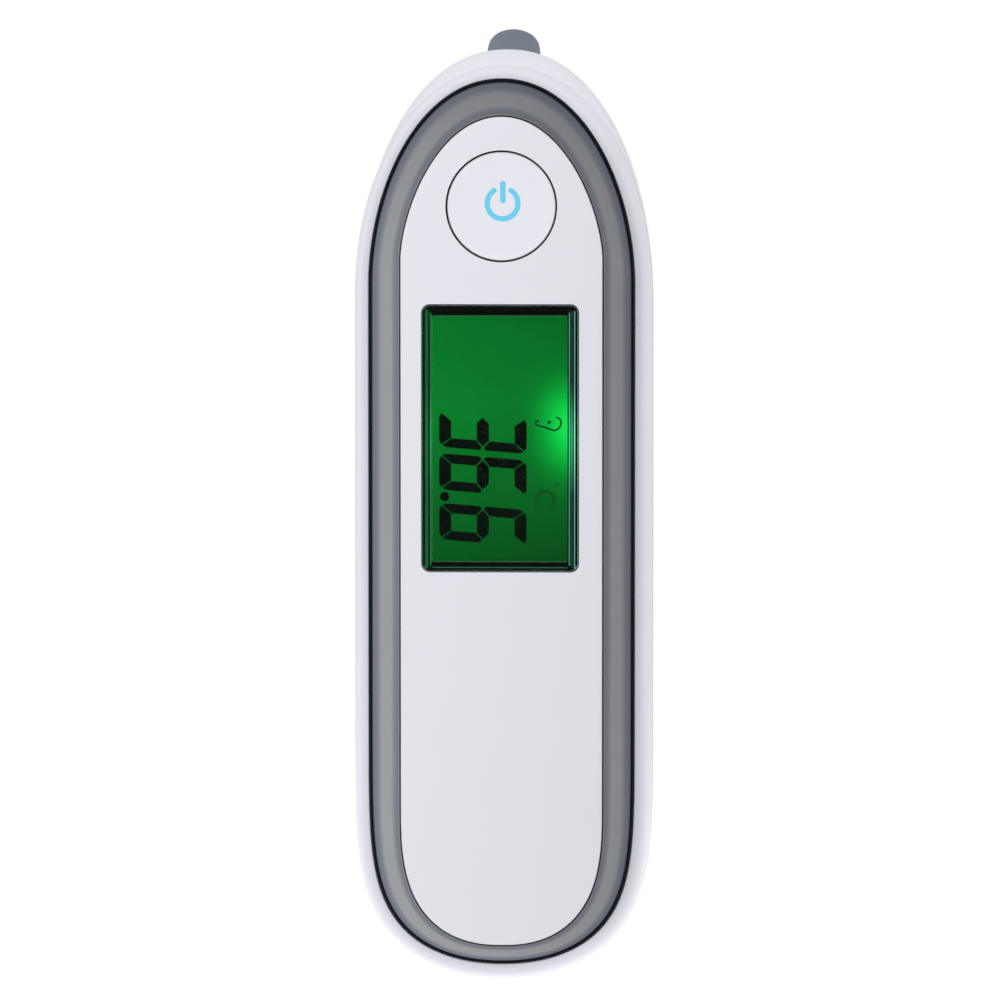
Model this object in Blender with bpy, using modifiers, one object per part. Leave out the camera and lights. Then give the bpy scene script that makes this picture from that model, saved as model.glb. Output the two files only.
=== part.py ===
"""Digital ear thermometer with a sliding battery door, a power button and its tact switch.

The handle stands along +Z with its face towards -Y, and the ear probe leaves the back of the head upwards.
All sizes below are millimetres. Each mesh is scaled to metres as it is made.
"""

import math
from typing import NamedTuple

import bmesh
import bpy
from mathutils import Matrix, Vector

MM = 0.001
GAP = 0.3  # clearance between neighbouring pieces

# ---- outlines of the face, seen from the front ----


class Outline(NamedTuple):
    """A long rounded outline: straight sides, and two superelliptic ends of exponents p and q."""

    half_width: float
    top: float
    top_length: float
    top_p: float
    top_q: float
    bottom: float
    bottom_length: float
    bottom_p: float
    bottom_q: float


RIM = Outline(22.95, 69.9, 36.0, 2.0, 2.1, -71.0, 35.8, 2.08, 4.0)
HEAD = Outline(22.95, 72.45, 40.0, 2.15, 2.05, -71.0, 35.8, 2.08, 4.0)
RING_OUTER = Outline(20.12, 67.4, 31.1, 2.08, 1.9, -67.85, 42.3, 2.13, 5.6)
PANEL = Outline(15.46, 61.86, 21.7, 2.04, 1.61, -65.2, 21.6, 2.34, 2.96)
END_STEPS = 11  # points round each quarter of an outline

# ---- casing ----
WALL = 1.8
PARTING_FRONT = -3.0
PARTING_REAR = PARTING_FRONT + GAP
DECK_FRONT = -10.6
DECK_BACK = -9.2
RIM_CREST = -11.8
RING_BACK = DECK_FRONT - GAP
RING_CREST = -12.45
PANEL_FACE = -12.5
LIP_DEPTH = 1.4
LIP_THICKNESS = 0.8

# ---- back of the casing ----
BACK_START = 1.0  # the side walls are straight up to here
HEAD_START = 7.0  # and up to here at the top of the head
HANDLE_BACK = 12.5
SECTION_POWER = 2.6
BACK_BOTTOM_POWER = 0.5
# the depth of the back at even steps from the crown of the head to the handle
BACKS = (7.0, 11.0, 15.0, 19.8, 22.5, 21.0, 16.8, 14.6, 13.3, 12.8, 12.6)
HEAD_BACK_STEPS = 6  # how many steps of BACKS the rounded head takes
NECK_END = -6.0

# ---- window and button ----
WINDOW = (-12.3, 11.9, -7.8, 33.25)
VIEW = (-10.75, 10.1, -6.3, 31.35)
WINDOW_RADIUS = 1.3
LENS_FRONT = -12.3
BUTTON_Z = 48.2
BUTTON_RADIUS = 8.3
BUTTON_HOLE = 8.6
BUTTON_FACE = -12.35
FLANGE_RADIUS = 9.8
FLANGE_BACK = -8.3
STEM_END = -8.0

# ---- board stack ----
BOARD_HALF_WIDTH = 13.2
BOARD_FRONT = -4.6
BOARD_BACK = -3.4
BOARD_BOTTOM = -32.0
BOARD_TOP = 57.0
BOARD_SCREWS = ((-9.0, 36.0), (9.0, 36.0), (-9.0, -14.0), (9.0, -14.0))
CASE_SCREWS = ((-16.4, 22.0), (16.4, 22.0))

# ---- probe: s is the distance back from the tip along its axis ----
PROBE_TIP = Vector((0.0, 30.0, 73.5))
PROBE_TILT = math.radians(48.0)  # above straight back
PROBE_AXIS = Vector((0.0, math.cos(PROBE_TILT), math.sin(PROBE_TILT)))
NECK_TOP = 13.6
NECK_ROOT = 26.0
NECK_TOP_RADIUS = 8.7
NECK_ROOT_RADIUS = 12.7
NECK_BORE = 6.6

# ---- battery bay ----
CELL_RADIUS = 5.25
CELL_LENGTH = 44.5
CELL_X = 5.45
CELL_Y = 4.55
CELL_BOTTOMS = (-55.0, -58.4)
TRAY = (-12.0, 12.0, -2.2, 7.2, -60.5, -8.3)
TRAY_WALL = 1.2
DOOR_HALF_WIDTH = 12.7
DOOR_TOP = -6.3
DOOR_FRONT = 3.1
BELOW = 30.0  # how far the door's cutters reach below the body
BEHIND = 30.0  # a depth that is well behind the body
RAIL_SIDE_PLAY = 0.5
RAIL_FACE_PLAY = 0.4
WELL_RADIUS = 2.5
SCREW_HOLE_RADIUS = 1.25
TONGUE = (11.5, 14.0, 7.7, 8.7, -50.0, -12.0)  # the right-hand rail on the door: x, y and z ranges

WHITE = ((0.86, 0.86, 0.90), 0.32, 0.0)
RING_GREY = ((0.24, 0.25, 0.27), 0.3, 0.6)
PROBE_GREY = ((0.16, 0.20, 0.24), 0.35, 0.0)
CLEAR = ((0.02, 0.20, 0.07), 0.06, 0.0)
LCD_GREEN = ((0.01, 0.35, 0.07), 0.15, 0.0)
LIGHT_PLASTIC = ((0.75, 0.85, 0.78), 0.4, 0.0)
BLACK_RUBBER = ((0.03, 0.03, 0.03), 0.8, 0.0)
BOARD_GREEN = ((0.02, 0.20, 0.08), 0.45, 0.0)
CHIP_BLACK = ((0.03, 0.03, 0.035), 0.5, 0.0)
STEEL = ((0.62, 0.62, 0.63), 0.3, 1.0)
GOLD = ((0.83, 0.62, 0.25), 0.25, 1.0)
CELL_LABEL = ((0.10, 0.22, 0.50), 0.35, 0.3)
TRAY_WHITE = ((0.70, 0.70, 0.72), 0.5, 0.0)
SENSOR_WINDOW = ((0.30, 0.32, 0.36), 0.1, 0.4)
WIRE_RED = ((0.55, 0.04, 0.03), 0.5, 0.0)


# ---- scene and object helpers ----


def clear_scene():
    for obj in list(bpy.data.objects):
        bpy.data.objects.remove(obj, do_unlink=True)


def new_collection(name, shown):
    collection = bpy.data.collections.new(name)
    bpy.context.scene.collection.children.link(collection)
    collection.hide_render = not shown
    return collection


def material(name, look):
    colour, roughness, metallic = look
    made = bpy.data.materials.new(name)
    made.use_nodes = True
    shader = made.node_tree.nodes["Principled BSDF"]
    shader.inputs["Base Color"].default_value = (*colour, 1.0)
    shader.inputs["Roughness"].default_value = roughness
    shader.inputs["Metallic"].default_value = metallic
    return made


def shaded(mesh):
    mesh.shade_smooth()
    mesh.set_sharp_from_angle(angle=math.radians(30))


def add(name, bm, look):
    """A part from a bmesh in millimetres, or a cutter when look is None."""
    bmesh.ops.remove_doubles(bm, verts=bm.verts, dist=1e-4)
    bmesh.ops.recalc_face_normals(bm, faces=bm.faces)
    bm.transform(Matrix.Scale(MM, 4))
    mesh = bpy.data.meshes.new(name)
    bm.to_mesh(mesh)
    bm.free()
    obj = bpy.data.objects.new(name, mesh)
    if look is None:
        CUTTERS.objects.link(obj)
        obj.hide_render = True
        obj.display_type = "WIRE"
    else:
        PARTS.objects.link(obj)
        mesh.materials.append(material(name, look))
        shaded(mesh)
    return obj


def boolean(obj, other, operation):
    modifier = obj.modifiers.new(operation.lower(), "BOOLEAN")
    modifier.operation = operation
    modifier.object = other


def cut(obj, *cutters):
    for cutter in cutters:
        boolean(obj, cutter, "DIFFERENCE")


def join(obj, *others):
    for other in others:
        boolean(obj, other, "UNION")


def add_box(bm, x0, x1, y0, y1, z0, z1):
    size = Matrix.Diagonal((x1 - x0, y1 - y0, z1 - z0, 1.0))
    centre = Matrix.Translation(((x0 + x1) / 2, (y0 + y1) / 2, (z0 + z1) / 2))
    return bmesh.ops.create_cube(bm, size=1.0, matrix=centre @ size)["verts"]


def box(name, look, x0, x1, y0, y1, z0, z1):
    bm = bmesh.new()
    add_box(bm, x0, x1, y0, y1, z0, z1)
    return add(name, bm, look)


def box_helper(name, x0, x1, y0, y1, z0, z1):
    return box(name, None, x0, x1, y0, y1, z0, z1)


def rounded_plate(name, look, sides, y0, y1, radius, segments=4):
    """A plate standing in the XZ plane, with its four upright edges rounded."""
    bm = bmesh.new()
    x0, x1, z0, z1 = sides
    add_box(bm, x0, x1, y0, y1, z0, z1)
    corners = [e for e in bm.edges if abs(e.verts[0].co.y - e.verts[1].co.y) > 1e-6]
    bmesh.ops.bevel(bm, geom=corners, offset=radius, segments=segments, affect="EDGES", profile=0.5)
    return add(name, bm, look)


def along(start, end):
    """Turns the Z axis from start to end, with its middle half way between."""
    start, end = Vector(start), Vector(end)
    turn = (end - start).to_track_quat("Z", "Y").to_matrix().to_4x4()
    return Matrix.Translation((start + end) / 2) @ turn


def cone(name, look, start, end, radius_start, radius_end, segments=32):
    bm = bmesh.new()
    length = (Vector(end) - Vector(start)).length
    bmesh.ops.create_cone(
        bm,
        cap_ends=True,
        segments=segments,
        radius1=radius_start,
        radius2=radius_end,
        depth=length,
        matrix=along(start, end),
    )
    return add(name, bm, look)


def rod(name, look, start, end, radius, segments=32):
    return cone(name, look, start, end, radius, radius, segments)


def turned(name, look, profile, start, direction, steps=40):
    """A profile of (distance along, radius) pairs turned about the line from start along direction.

    A profile that starts and ends on the line makes a solid, and any other is closed into a ring.
    """
    bm = bmesh.new()
    points = [bm.verts.new((radius, 0.0, -distance)) for distance, radius in profile]
    pairs = list(zip(points, points[1:]))
    if profile[0][1] > 0.0:
        pairs.append((points[-1], points[0]))
    for a, b in pairs:
        bm.edges.new((a, b))
    bm.transform(Matrix.Scale(MM, 4))
    mesh = bpy.data.meshes.new(name)
    bm.to_mesh(mesh)
    bm.free()
    obj = bpy.data.objects.new(name, mesh)
    PARTS.objects.link(obj)
    mesh.materials.append(material(name, look))
    screw = obj.modifiers.new("turn", "SCREW")
    screw.axis = "Z"
    screw.steps = screw.render_steps = steps
    screw.use_merge_vertices = True
    screw.merge_threshold = 0.00001
    screw.use_smooth_shade = True
    turn = Vector(direction).to_track_quat("-Z", "Y")
    obj.matrix_world = Matrix.Translation(Vector(start) * MM) @ turn.to_matrix().to_4x4()
    return obj


def wire(name, look, points, radius, cyclic=False):
    curve = bpy.data.curves.new(name, "CURVE")
    curve.dimensions = "3D"
    curve.bevel_depth = radius * MM
    curve.bevel_resolution = 2
    curve.use_fill_caps = True
    spline = curve.splines.new("POLY")
    spline.points.add(len(points) - 1)
    for target, point in zip(spline.points, points):
        target.co = (*(Vector(point) * MM), 1.0)
    spline.use_cyclic_u = cyclic
    curve.materials.append(material(name, look))
    obj = bpy.data.objects.new(name, curve)
    PARTS.objects.link(obj)
    return obj


def smooth_path(points, per_span=4):
    """Points along a Catmull-Rom curve through the given ones."""
    given = [Vector(p) for p in points]
    ends = [2 * given[0] - given[1], *given, 2 * given[-1] - given[-2]]
    path = []
    for i in range(1, len(ends) - 2):
        path += [catmull_rom(ends[i - 1 : i + 3], k / per_span) for k in range(per_span)]
    return [*path, given[-1]]


def catmull_rom(four, t):
    a, b, c, d = four
    return 0.5 * (2 * b + (c - a) * t + (2 * a - 5 * b + 4 * c - d) * t**2 + (3 * b - a - 3 * c + d) * t**3)


def spline_at(values, place):
    """The value at a place counted in steps along evenly spaced values, on a smooth line through them."""
    ends = [2 * values[0] - values[1], *values, 2 * values[-1] - values[-2]]
    i = min(int(place), len(values) - 2)
    return catmull_rom(ends[i : i + 4], place - i)


# ---- outlines ----


def end_point(half_width, tip, length, p, q, angle):
    """A point of a rounded end, from the tip (angle 0) to the straight side (90 degrees)."""
    across = half_width * max(math.sin(angle), 0.0) ** (2 / p)
    along_end = length * max(math.cos(angle), 0.0) ** (2 / q)
    return across, tip - length + along_end


def top_point(o, angle):
    return end_point(o.half_width, o.top, o.top_length, o.top_p, o.top_q, angle)


def bottom_point(o, angle):
    across, height = end_point(
        o.half_width, -o.bottom, o.bottom_length, o.bottom_p, o.bottom_q, angle
    )
    return across, -height


def end_angles():
    return [math.pi / 2 * k / END_STEPS for k in range(END_STEPS + 1)]


def outline(o):
    """The closed outline as (x, z) pairs, counter-clockwise from the bottom."""
    right = [bottom_point(o, a) for a in end_angles()]
    right += [top_point(o, a) for a in reversed(end_angles())]
    left = [(-x, z) for x, z in reversed(right[1:-1])]
    return right + left


def inset(o, distance):
    return o._replace(
        half_width=o.half_width - distance,
        top=o.top - distance,
        top_length=o.top_length - distance,
        bottom=o.bottom + distance,
        bottom_length=o.bottom_length - distance,
    )


def between(a, b, share):
    return Outline(*(x + (y - x) * share for x, y in zip(a, b)))


def stack(name, look, rings, closed=False):
    """A solid skinned over outlines at their depths: capped at both ends, or closed on itself like a ring."""
    bm = bmesh.new()
    loops = [[bm.verts.new((x, y, z)) for x, z in outline(o)] for o, y in rings]
    pairs = list(zip(loops, loops[1:]))
    if closed:
        pairs.append((loops[-1], loops[0]))
    else:
        bm.faces.new(loops[0])
        bm.faces.new(loops[-1])
    for lower, upper in pairs:
        for i in range(len(lower)):
            j = (i + 1) % len(lower)
            bm.faces.new((lower[i], lower[j], upper[j], upper[i]))
    return add(name, bm, look)


# ---- casing ----


def front_housing():
    groove = inset(RING_OUTER, -GAP)
    rings = [
        (inset(RIM, 2.0), DECK_BACK),
        (inset(RIM, WALL + GAP + LIP_THICKNESS), DECK_BACK + 1.2),
        (inset(RIM, WALL + GAP + LIP_THICKNESS), PARTING_FRONT + LIP_DEPTH),
        (inset(RIM, WALL + GAP), PARTING_FRONT + LIP_DEPTH),
        (inset(RIM, WALL + GAP), PARTING_FRONT),
        (RIM, PARTING_FRONT),
        (inset(RIM, 0.12), -7.0),
        (inset(RIM, 0.5), -9.8),
        (inset(RIM, 1.1), -11.2),
        (inset(RIM, 1.6), RIM_CREST),
        (groove, RIM_CREST + 0.05),
        (groove, DECK_FRONT),
    ]
    housing = stack("front_housing", WHITE, rings)
    view = box_helper("view_cut", VIEW[0], VIEW[1], -14, -7, VIEW[2], VIEW[3])
    hole = rod("button_deck_cut", None, (0, -14, BUTTON_Z), (0, -7, BUTTON_Z), BUTTON_HOLE)
    for i, (x, z) in enumerate(CASE_SCREWS):
        post = rod(f"case_post_{i}", None, (x, DECK_BACK - 0.7, z), (x, 4.0, z), 2.4, 20)
        bore = rod(f"case_post_bore_{i}", None, (x, -6.5, z), (x, 5.0, z), 1.25, 16)
        join(housing, post)
        cut(housing, bore)
    for i, (x, z) in enumerate(BOARD_SCREWS):
        post = rod(f"board_post_{i}", None, (x, DECK_BACK - 0.7, z), (x, BOARD_FRONT - GAP, z), 2.0, 16)
        bore = rod(f"board_post_bore_{i}", None, (x, -8.3, z), (x, -4.0, z), 1.1, 12)
        join(housing, post)
        cut(housing, bore)
    cut(housing, view, hole)


def trim_ring():
    inner = inset(PANEL, -GAP)
    rings = [
        (inner, RING_BACK),
        (inner, RING_CREST + 0.35),
        (between(inner, RING_OUTER, 0.1), RING_CREST),
        (between(inner, RING_OUTER, 0.5), RING_CREST + 0.1),
        (between(inner, RING_OUTER, 0.88), RING_CREST + 0.7),
        (RING_OUTER, RING_BACK - 0.4),
        (RING_OUTER, RING_BACK),
    ]
    stack("trim_ring", RING_GREY, rings, closed=True)


def front_panel():
    rings = [
        (PANEL, RING_BACK),
        (PANEL, PANEL_FACE + 0.3),
        (inset(PANEL, 0.3), PANEL_FACE),
    ]
    panel = stack("front_panel", WHITE, rings)
    window = rounded_plate("window_cut", None, WINDOW, -14, -9, WINDOW_RADIUS)
    hole = rod("button_cut", None, (0, -14, BUTTON_Z), (0, -9, BUTTON_Z), BUTTON_HOLE, 48)
    cut(panel, window, hole)


def back_stations(step_in):
    """Stations up the back: the parting outline's point, the widest point, and the depth of the back."""
    rim, head = inset(RIM, step_in), inset(HEAD, step_in)
    stations = []
    for angle in end_angles():
        across, height = bottom_point(rim, angle)
        depth = HANDLE_BACK - step_in - BACK_START
        back = BACK_START + depth * math.sin(angle) ** BACK_BOTTOM_POWER
        stations.append(((across, height), (across, height), BACK_START, back))
    low = rim.bottom + rim.bottom_length
    high_rim = rim.top - rim.top_length
    neck_steps = len(BACKS) - 1 - HEAD_BACK_STEPS
    heights = (NECK_END, NECK_END + 8, NECK_END + 16, NECK_END + 24, NECK_END + 32)
    for height in heights:
        share = (high_rim - height) / (high_rim - NECK_END)
        back = spline_at(BACKS, HEAD_BACK_STEPS + neck_steps * share) - step_in
        stations.append(((rim.half_width, height), (rim.half_width, height), BACK_START, back))
    stations[len(end_angles()) - 1] = (
        (rim.half_width, low),
        (rim.half_width, low),
        BACK_START,
        HANDLE_BACK - step_in,
    )
    for angle in reversed(end_angles()):
        share = angle / (math.pi / 2)
        back = spline_at(BACKS, HEAD_BACK_STEPS * share)
        back -= step_in * min(1.0, 3 * share)
        widest = BACK_START + (HEAD_START - BACK_START) * math.cos(angle) ** 2
        stations.append((top_point(rim, angle), top_point(head, angle), widest, max(back, widest)))
    return stations


SIDE_STEPS = 3
ARCH_STEPS = 18


def back_row(station):
    """One row across the back: up the right side wall, over the arch and down the left side wall."""
    (edge_x, edge_z), (wide_x, wide_z), widest, back = station
    side = []
    for k in range(SIDE_STEPS):
        share = k / SIDE_STEPS
        out = 1 - (1 - share) ** 2
        x = edge_x + (wide_x - edge_x) * out
        z = edge_z + (wide_z - edge_z) * out
        side.append(Vector((x, PARTING_REAR + (widest - PARTING_REAR) * share, z)))
    row = list(side)
    for k in range(ARCH_STEPS + 1):
        angle = math.pi * k / ARCH_STEPS
        cos = math.cos(angle)
        x = wide_x * math.copysign(abs(cos) ** (2 / SECTION_POWER), cos)
        y = widest + (back - widest) * math.sin(angle) ** (2 / SECTION_POWER)
        row.append(Vector((x, y, wide_z)))
    return row + [Vector((-p.x, p.y, p.z)) for p in reversed(side)]


def skin(bm, rows):
    loops = [[bm.verts.new(p) for p in row] for row in rows]
    for lower, upper in zip(loops, loops[1:]):
        for i in range(len(lower) - 1):
            bm.faces.new((lower[i], lower[i + 1], upper[i + 1], upper[i]))
    return loops


def close_rim(bm, first, second):
    """Joins the open edges of two skins along both sides."""
    for a0, a1, b0, b1 in zip(first, first[1:], second, second[1:]):
        bm.faces.new((a0[0], a1[0], b1[0], b0[0]))
        bm.faces.new((a0[-1], b0[-1], b1[-1], a1[-1]))


def tidy(bm):
    bmesh.ops.remove_doubles(bm, verts=bm.verts, dist=1e-3)
    bmesh.ops.dissolve_degenerate(bm, edges=bm.edges, dist=1e-3)


def back_shell(name, look):
    bm = bmesh.new()
    outer = skin(bm, [back_row(s) for s in back_stations(0.0)])
    inner = skin(bm, [back_row(s) for s in back_stations(WALL)])
    close_rim(bm, outer, inner)
    tidy(bm)
    return add(name, bm, look)


def back_solid():
    """The back's form to halfway through its wall, filled."""
    bm = bmesh.new()
    loops = skin(bm, [back_row(s) for s in back_stations(WALL / 2)])
    edge = [row[0] for row in loops] + [row[-1] for row in reversed(loops[1:-1])]
    bm.faces.new(edge)
    tidy(bm)
    return add("back_solid", bm, None)


def probe_point(distance):
    return PROBE_TIP - PROBE_AXIS * distance


def screw_wells(solid):
    """Tubes for the case screws, trimmed to the back's outer form."""
    wells = []
    for i, (x, z) in enumerate(CASE_SCREWS):
        well = rod(f"screw_well_{i}", None, (x, 4.0 + GAP, z), (x, 20, z), 3.5, 24)
        boolean(well, solid, "INTERSECT")
        wells.append(well)
    return wells


def neck():
    """The hollow cone that carries the probe."""
    cone_wall = cone(
        "neck",
        None,
        probe_point(NECK_ROOT),
        probe_point(NECK_TOP),
        NECK_ROOT_RADIUS,
        NECK_TOP_RADIUS,
        40,
    )
    inside_start, inside_end = probe_point(NECK_ROOT + 1), probe_point(16.5)
    inside = cone("neck_inside", None, inside_start, inside_end, NECK_ROOT_RADIUS - WALL, NECK_BORE, 40)
    bore = rod("neck_bore", None, probe_point(NECK_ROOT + 1), probe_point(NECK_TOP - 4), NECK_BORE, 40)
    seal_seat = rod("seal_seat", None, probe_point(15.3), probe_point(NECK_TOP - 4), 7.6, 40)
    return cone_wall, (inside, bore, seal_seat)


def rear_housing():
    housing = back_shell("rear_housing", WHITE)
    neck_wall, neck_cutters = neck()
    join(housing, neck_wall, *screw_wells(back_solid()))
    cut(housing, *neck_cutters)
    for i, (x, z) in enumerate(CASE_SCREWS):
        well_bore = rod(f"well_bore_{i}", None, (x, 5.6, z), (x, 22, z), WELL_RADIUS, 20)
        screw_hole = rod(f"screw_hole_{i}", None, (x, 2, z), (x, 8, z), SCREW_HOLE_RADIUS, 16)
        cut(housing, well_bore, screw_hole)
    side = DOOR_HALF_WIDTH + GAP
    low = RIM.bottom - BELOW
    cut(housing, box_helper("door_cut", -side, side, DOOR_FRONT - GAP, BEHIND, low, DOOR_TOP + GAP))
    rail_side = TONGUE[1] + RAIL_SIDE_PLAY
    rail_y = (TONGUE[2] - RAIL_FACE_PLAY, TONGUE[3] + RAIL_FACE_PLAY)
    cut(housing, box_helper("rail_cut", -rail_side, rail_side, *rail_y, low, TONGUE[5] + 2))


def battery_door():
    door = back_shell("battery_door", WHITE)
    low = RIM.bottom - BELOW
    keep = box_helper("door_keep", -DOOR_HALF_WIDTH, DOOR_HALF_WIDTH, DOOR_FRONT, BEHIND, low, DOOR_TOP)
    boolean(door, keep, "INTERSECT")
    near, far, *rail = TONGUE
    for side, label in ((-1, "left"), (1, "right")):
        web = sorted((side * near, side * (near + 1)))
        tongue = sorted((side * near, side * far))
        join(door, box_helper(f"{label}_web", *web, rail[0] + 0.1, 10.6, *rail[2:]))
        join(door, box_helper(f"{label}_tongue", *tongue, *rail))
    join(door, box_helper("latch_tab", -3.2, 3.2, 9.75, 10.35, DOOR_TOP - 4, DOOR_TOP + 2.6))
    join(door, box_helper("latch_root", -3.2, 3.2, 9.75, 11.4, DOOR_TOP - 4, DOOR_TOP - 1.5))
    for k in range(5):
        z = -14.0 - 2.2 * k
        join(door, box_helper(f"grip_rib_{k}", -6.0, 6.0, 11.8, 13.0, z - 0.45, z + 0.45))
    return door


# ---- window, button and switch ----


def window_and_display():
    lens_sides = (WINDOW[0] + GAP, WINDOW[1] - GAP, WINDOW[2] + GAP, WINDOW[3] - GAP)
    rounded_plate("window_lens", CLEAR, lens_sides, LENS_FRONT, RING_BACK, WINDOW_RADIUS - GAP)
    gasket = box("lcd_gasket", BLACK_RUBBER, -12.4, 12.4, -8.9, -8.3, -8.6, 33.2)
    opening = (VIEW[0] - 0.2, VIEW[1] + 0.2, VIEW[2] - 0.2, VIEW[3] + 0.2)
    cut(gasket, box_helper("gasket_cut", *opening[:2], -10, -7, *opening[2:]))
    box("lcd_glass", LCD_GREEN, -12.6, 12.6, -8.0, -6.4, -9.0, 33.6)
    box("light_guide", LIGHT_PLASTIC, -11.8, 11.8, -6.1, -4.9, -7.4, 32.0)
    box("backlight_led", LIGHT_PLASTIC, 12.1, 13.1, -6.1, -4.9, 12.5, 14.5)
    box("zebra_strip", BLACK_RUBBER, -10.5, 10.5, -6.1, -4.9, -9.0, -7.7)


def power_button(axis):
    face, flange = BUTTON_FACE, DECK_BACK + GAP
    profile = [
        (face, 0.0),
        (face, BUTTON_RADIUS - 0.7),
        (face + 0.12, BUTTON_RADIUS - 0.25),
        (face + 0.5, BUTTON_RADIUS),
        (flange, BUTTON_RADIUS),
        (flange, FLANGE_RADIUS),
        (FLANGE_BACK, FLANGE_RADIUS),
        (FLANGE_BACK, 6.9),
        (face + 1.2, 6.9),
        (face + 1.2, 1.8),
        (STEM_END, 1.8),
        (STEM_END, 0.0),
    ]
    button = turned("power_button", WHITE, profile, (0, 0, BUTTON_Z), (0, 1, 0), 48)
    hang_on(button, axis)


def switch(axis):
    body = box("tact_switch", CHIP_BLACK, -3.1, 3.1, -7.0, -4.9, BUTTON_Z - 3.1, BUTTON_Z + 3.1)
    cut(body, rod("plunger_bore", None, (0, -9, BUTTON_Z), (0, -5.4, BUTTON_Z), 1.9, 20))
    profile = [(-7.7, 0.0), (-7.7, 1.35), (-7.45, 1.6), (-6.3, 1.6), (-6.3, 0.0)]
    plunger = turned("switch_plunger", LIGHT_PLASTIC, profile, (0, 0, BUTTON_Z), (0, 1, 0), 20)
    hang_on(plunger, axis)


def joint_empty(name, place):
    empty = bpy.data.objects.new(name, None)
    empty.location = Vector(place) * MM
    PARTS.objects.link(empty)
    bpy.context.view_layer.update()
    return empty


def hang_on(obj, empty):
    bpy.context.view_layer.update()
    world = obj.matrix_world.copy()
    obj.parent = empty
    obj.matrix_parent_inverse = Matrix.Identity(4)
    obj.matrix_basis = empty.matrix_world.inverted() @ world


# ---- board ----


def board():
    main = box(
        "main_pcb",
        BOARD_GREEN,
        -BOARD_HALF_WIDTH,
        BOARD_HALF_WIDTH,
        BOARD_FRONT,
        BOARD_BACK,
        BOARD_BOTTOM,
        BOARD_TOP,
    )
    head_front = BOARD_BACK + GAP
    for i, (x, z) in enumerate(BOARD_SCREWS):
        cut(main, rod(f"board_hole_{i}", None, (x, -6, z), (x, -2, z), 1.1, 16))
        profile = [
            (-8.0, 0.0),
            (-8.0, 0.4),
            (-7.4, 0.8),
            (head_front, 0.8),
            (head_front, 1.7),
            (head_front + 0.4, 1.65),
            (head_front + 0.6, 1.3),
            (head_front + 0.6, 0.0),
        ]
        turned(f"pcb_screw_{i + 1}", STEEL, profile, (x, 0, z), (0, 1, 0), 16)
    box("mcu_chip", CHIP_BLACK, -5, 5, head_front, head_front + 1.4, 24, 34)
    box("crystal", STEEL, 7.2, 10.6, head_front, head_front + 1.8, 24, 31)
    rod("filter_capacitor", CHIP_BLACK, (-9, head_front, 28), (-9, head_front + 5.2, 28), 2.5, 24)
    rod("buzzer", CHIP_BLACK, (0, head_front, 10), (0, head_front + 4, 10), 6.2, 32)
    box("cable_connector", LIGHT_PLASTIC, -3.5, 3.5, head_front, head_front + 2.6, 49.5, 54.5)


# ---- probe ----


def probe_turned(name, look, profile, steps=40):
    return turned(name, look, profile, PROBE_TIP, -PROBE_AXIS, steps)


def probe():
    flange = NECK_TOP - GAP
    outer = [
        (0.0, 3.0),
        (0.0, 3.55),
        (0.2, 3.9),
        (0.7, 4.12),
        (4.0, 4.5),
        (7.5, 5.2),
        (9.8, 6.1),
        (11.3, 7.3),
        (12.2, 8.2),
        (12.6, 8.4),
        (flange, 8.4),
        (flange, 6.3),
        (17.5, 6.3),
        (17.5, 5.3),
        (12.4, 5.3),
        (10.8, 3.6),
        (9.0, 3.0),
    ]
    probe_turned("ear_probe", PROBE_GREY, outer, 40)
    probe_turned("probe_window", SENSOR_WINDOW, [(0.5, 0.0), (0.5, 2.7), (1.0, 2.7), (1.0, 0.0)], 32)
    probe_turned("waveguide", GOLD, [(1.3, 1.9), (1.3, 2.6), (10.4, 2.6), (10.4, 1.9)], 28)
    can = [(10.7, 0.0), (10.7, 2.5), (10.9, 2.7), (13.5, 2.7), (13.5, 3.2), (14.1, 3.2), (14.1, 0.0)]
    probe_turned("thermopile_sensor", STEEL, can, 28)
    holder = [(12.8, 3.5), (12.8, 5.0), (16.4, 5.0), (16.4, 1.6), (14.5, 1.6), (14.5, 3.5)]
    probe_turned("sensor_holder", LIGHT_PLASTIC, holder, 32)
    seal_centre, seal_radius, seal_wire = 14.6, 6.95, 0.42
    seal = []
    for k in range(8):
        angle = -2 * math.pi * k / 8
        seal.append((seal_centre - seal_wire * math.cos(angle), seal_radius + seal_wire * math.sin(angle)))
    probe_turned("probe_seal", BLACK_RUBBER, list(reversed(seal)), 28)


def sensor_cable():
    route = [
        (0, 0.0, 52.0),
        (0, 2.5, 52.0),
        (0, 7.0, 52.6),
        (0, 12.0, 54.6),
        tuple(probe_point(19.0)),
        tuple(probe_point(16.6)),
        tuple(probe_point(14.7)),
    ]
    wire("sensor_cable", WIRE_RED, smooth_path(route, 3), 0.8)


# ---- battery bay ----


def battery_tray():
    x0, x1, y0, y1, z0, z1 = TRAY
    tray = box("battery_tray", TRAY_WHITE, *TRAY)
    inner = CELL_X + CELL_RADIUS + 0.3
    cavity = (-inner, inner, y0 + TRAY_WALL, y1 + 5, z0 + TRAY_WALL, z1 - TRAY_WALL)
    cut(tray, box_helper("tray_cavity", *cavity))
    join(tray, box_helper("tray_divider", -0.12, 0.12, y0 + 0.5, 1.5, z0 + 5, z1 - 6))


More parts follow.
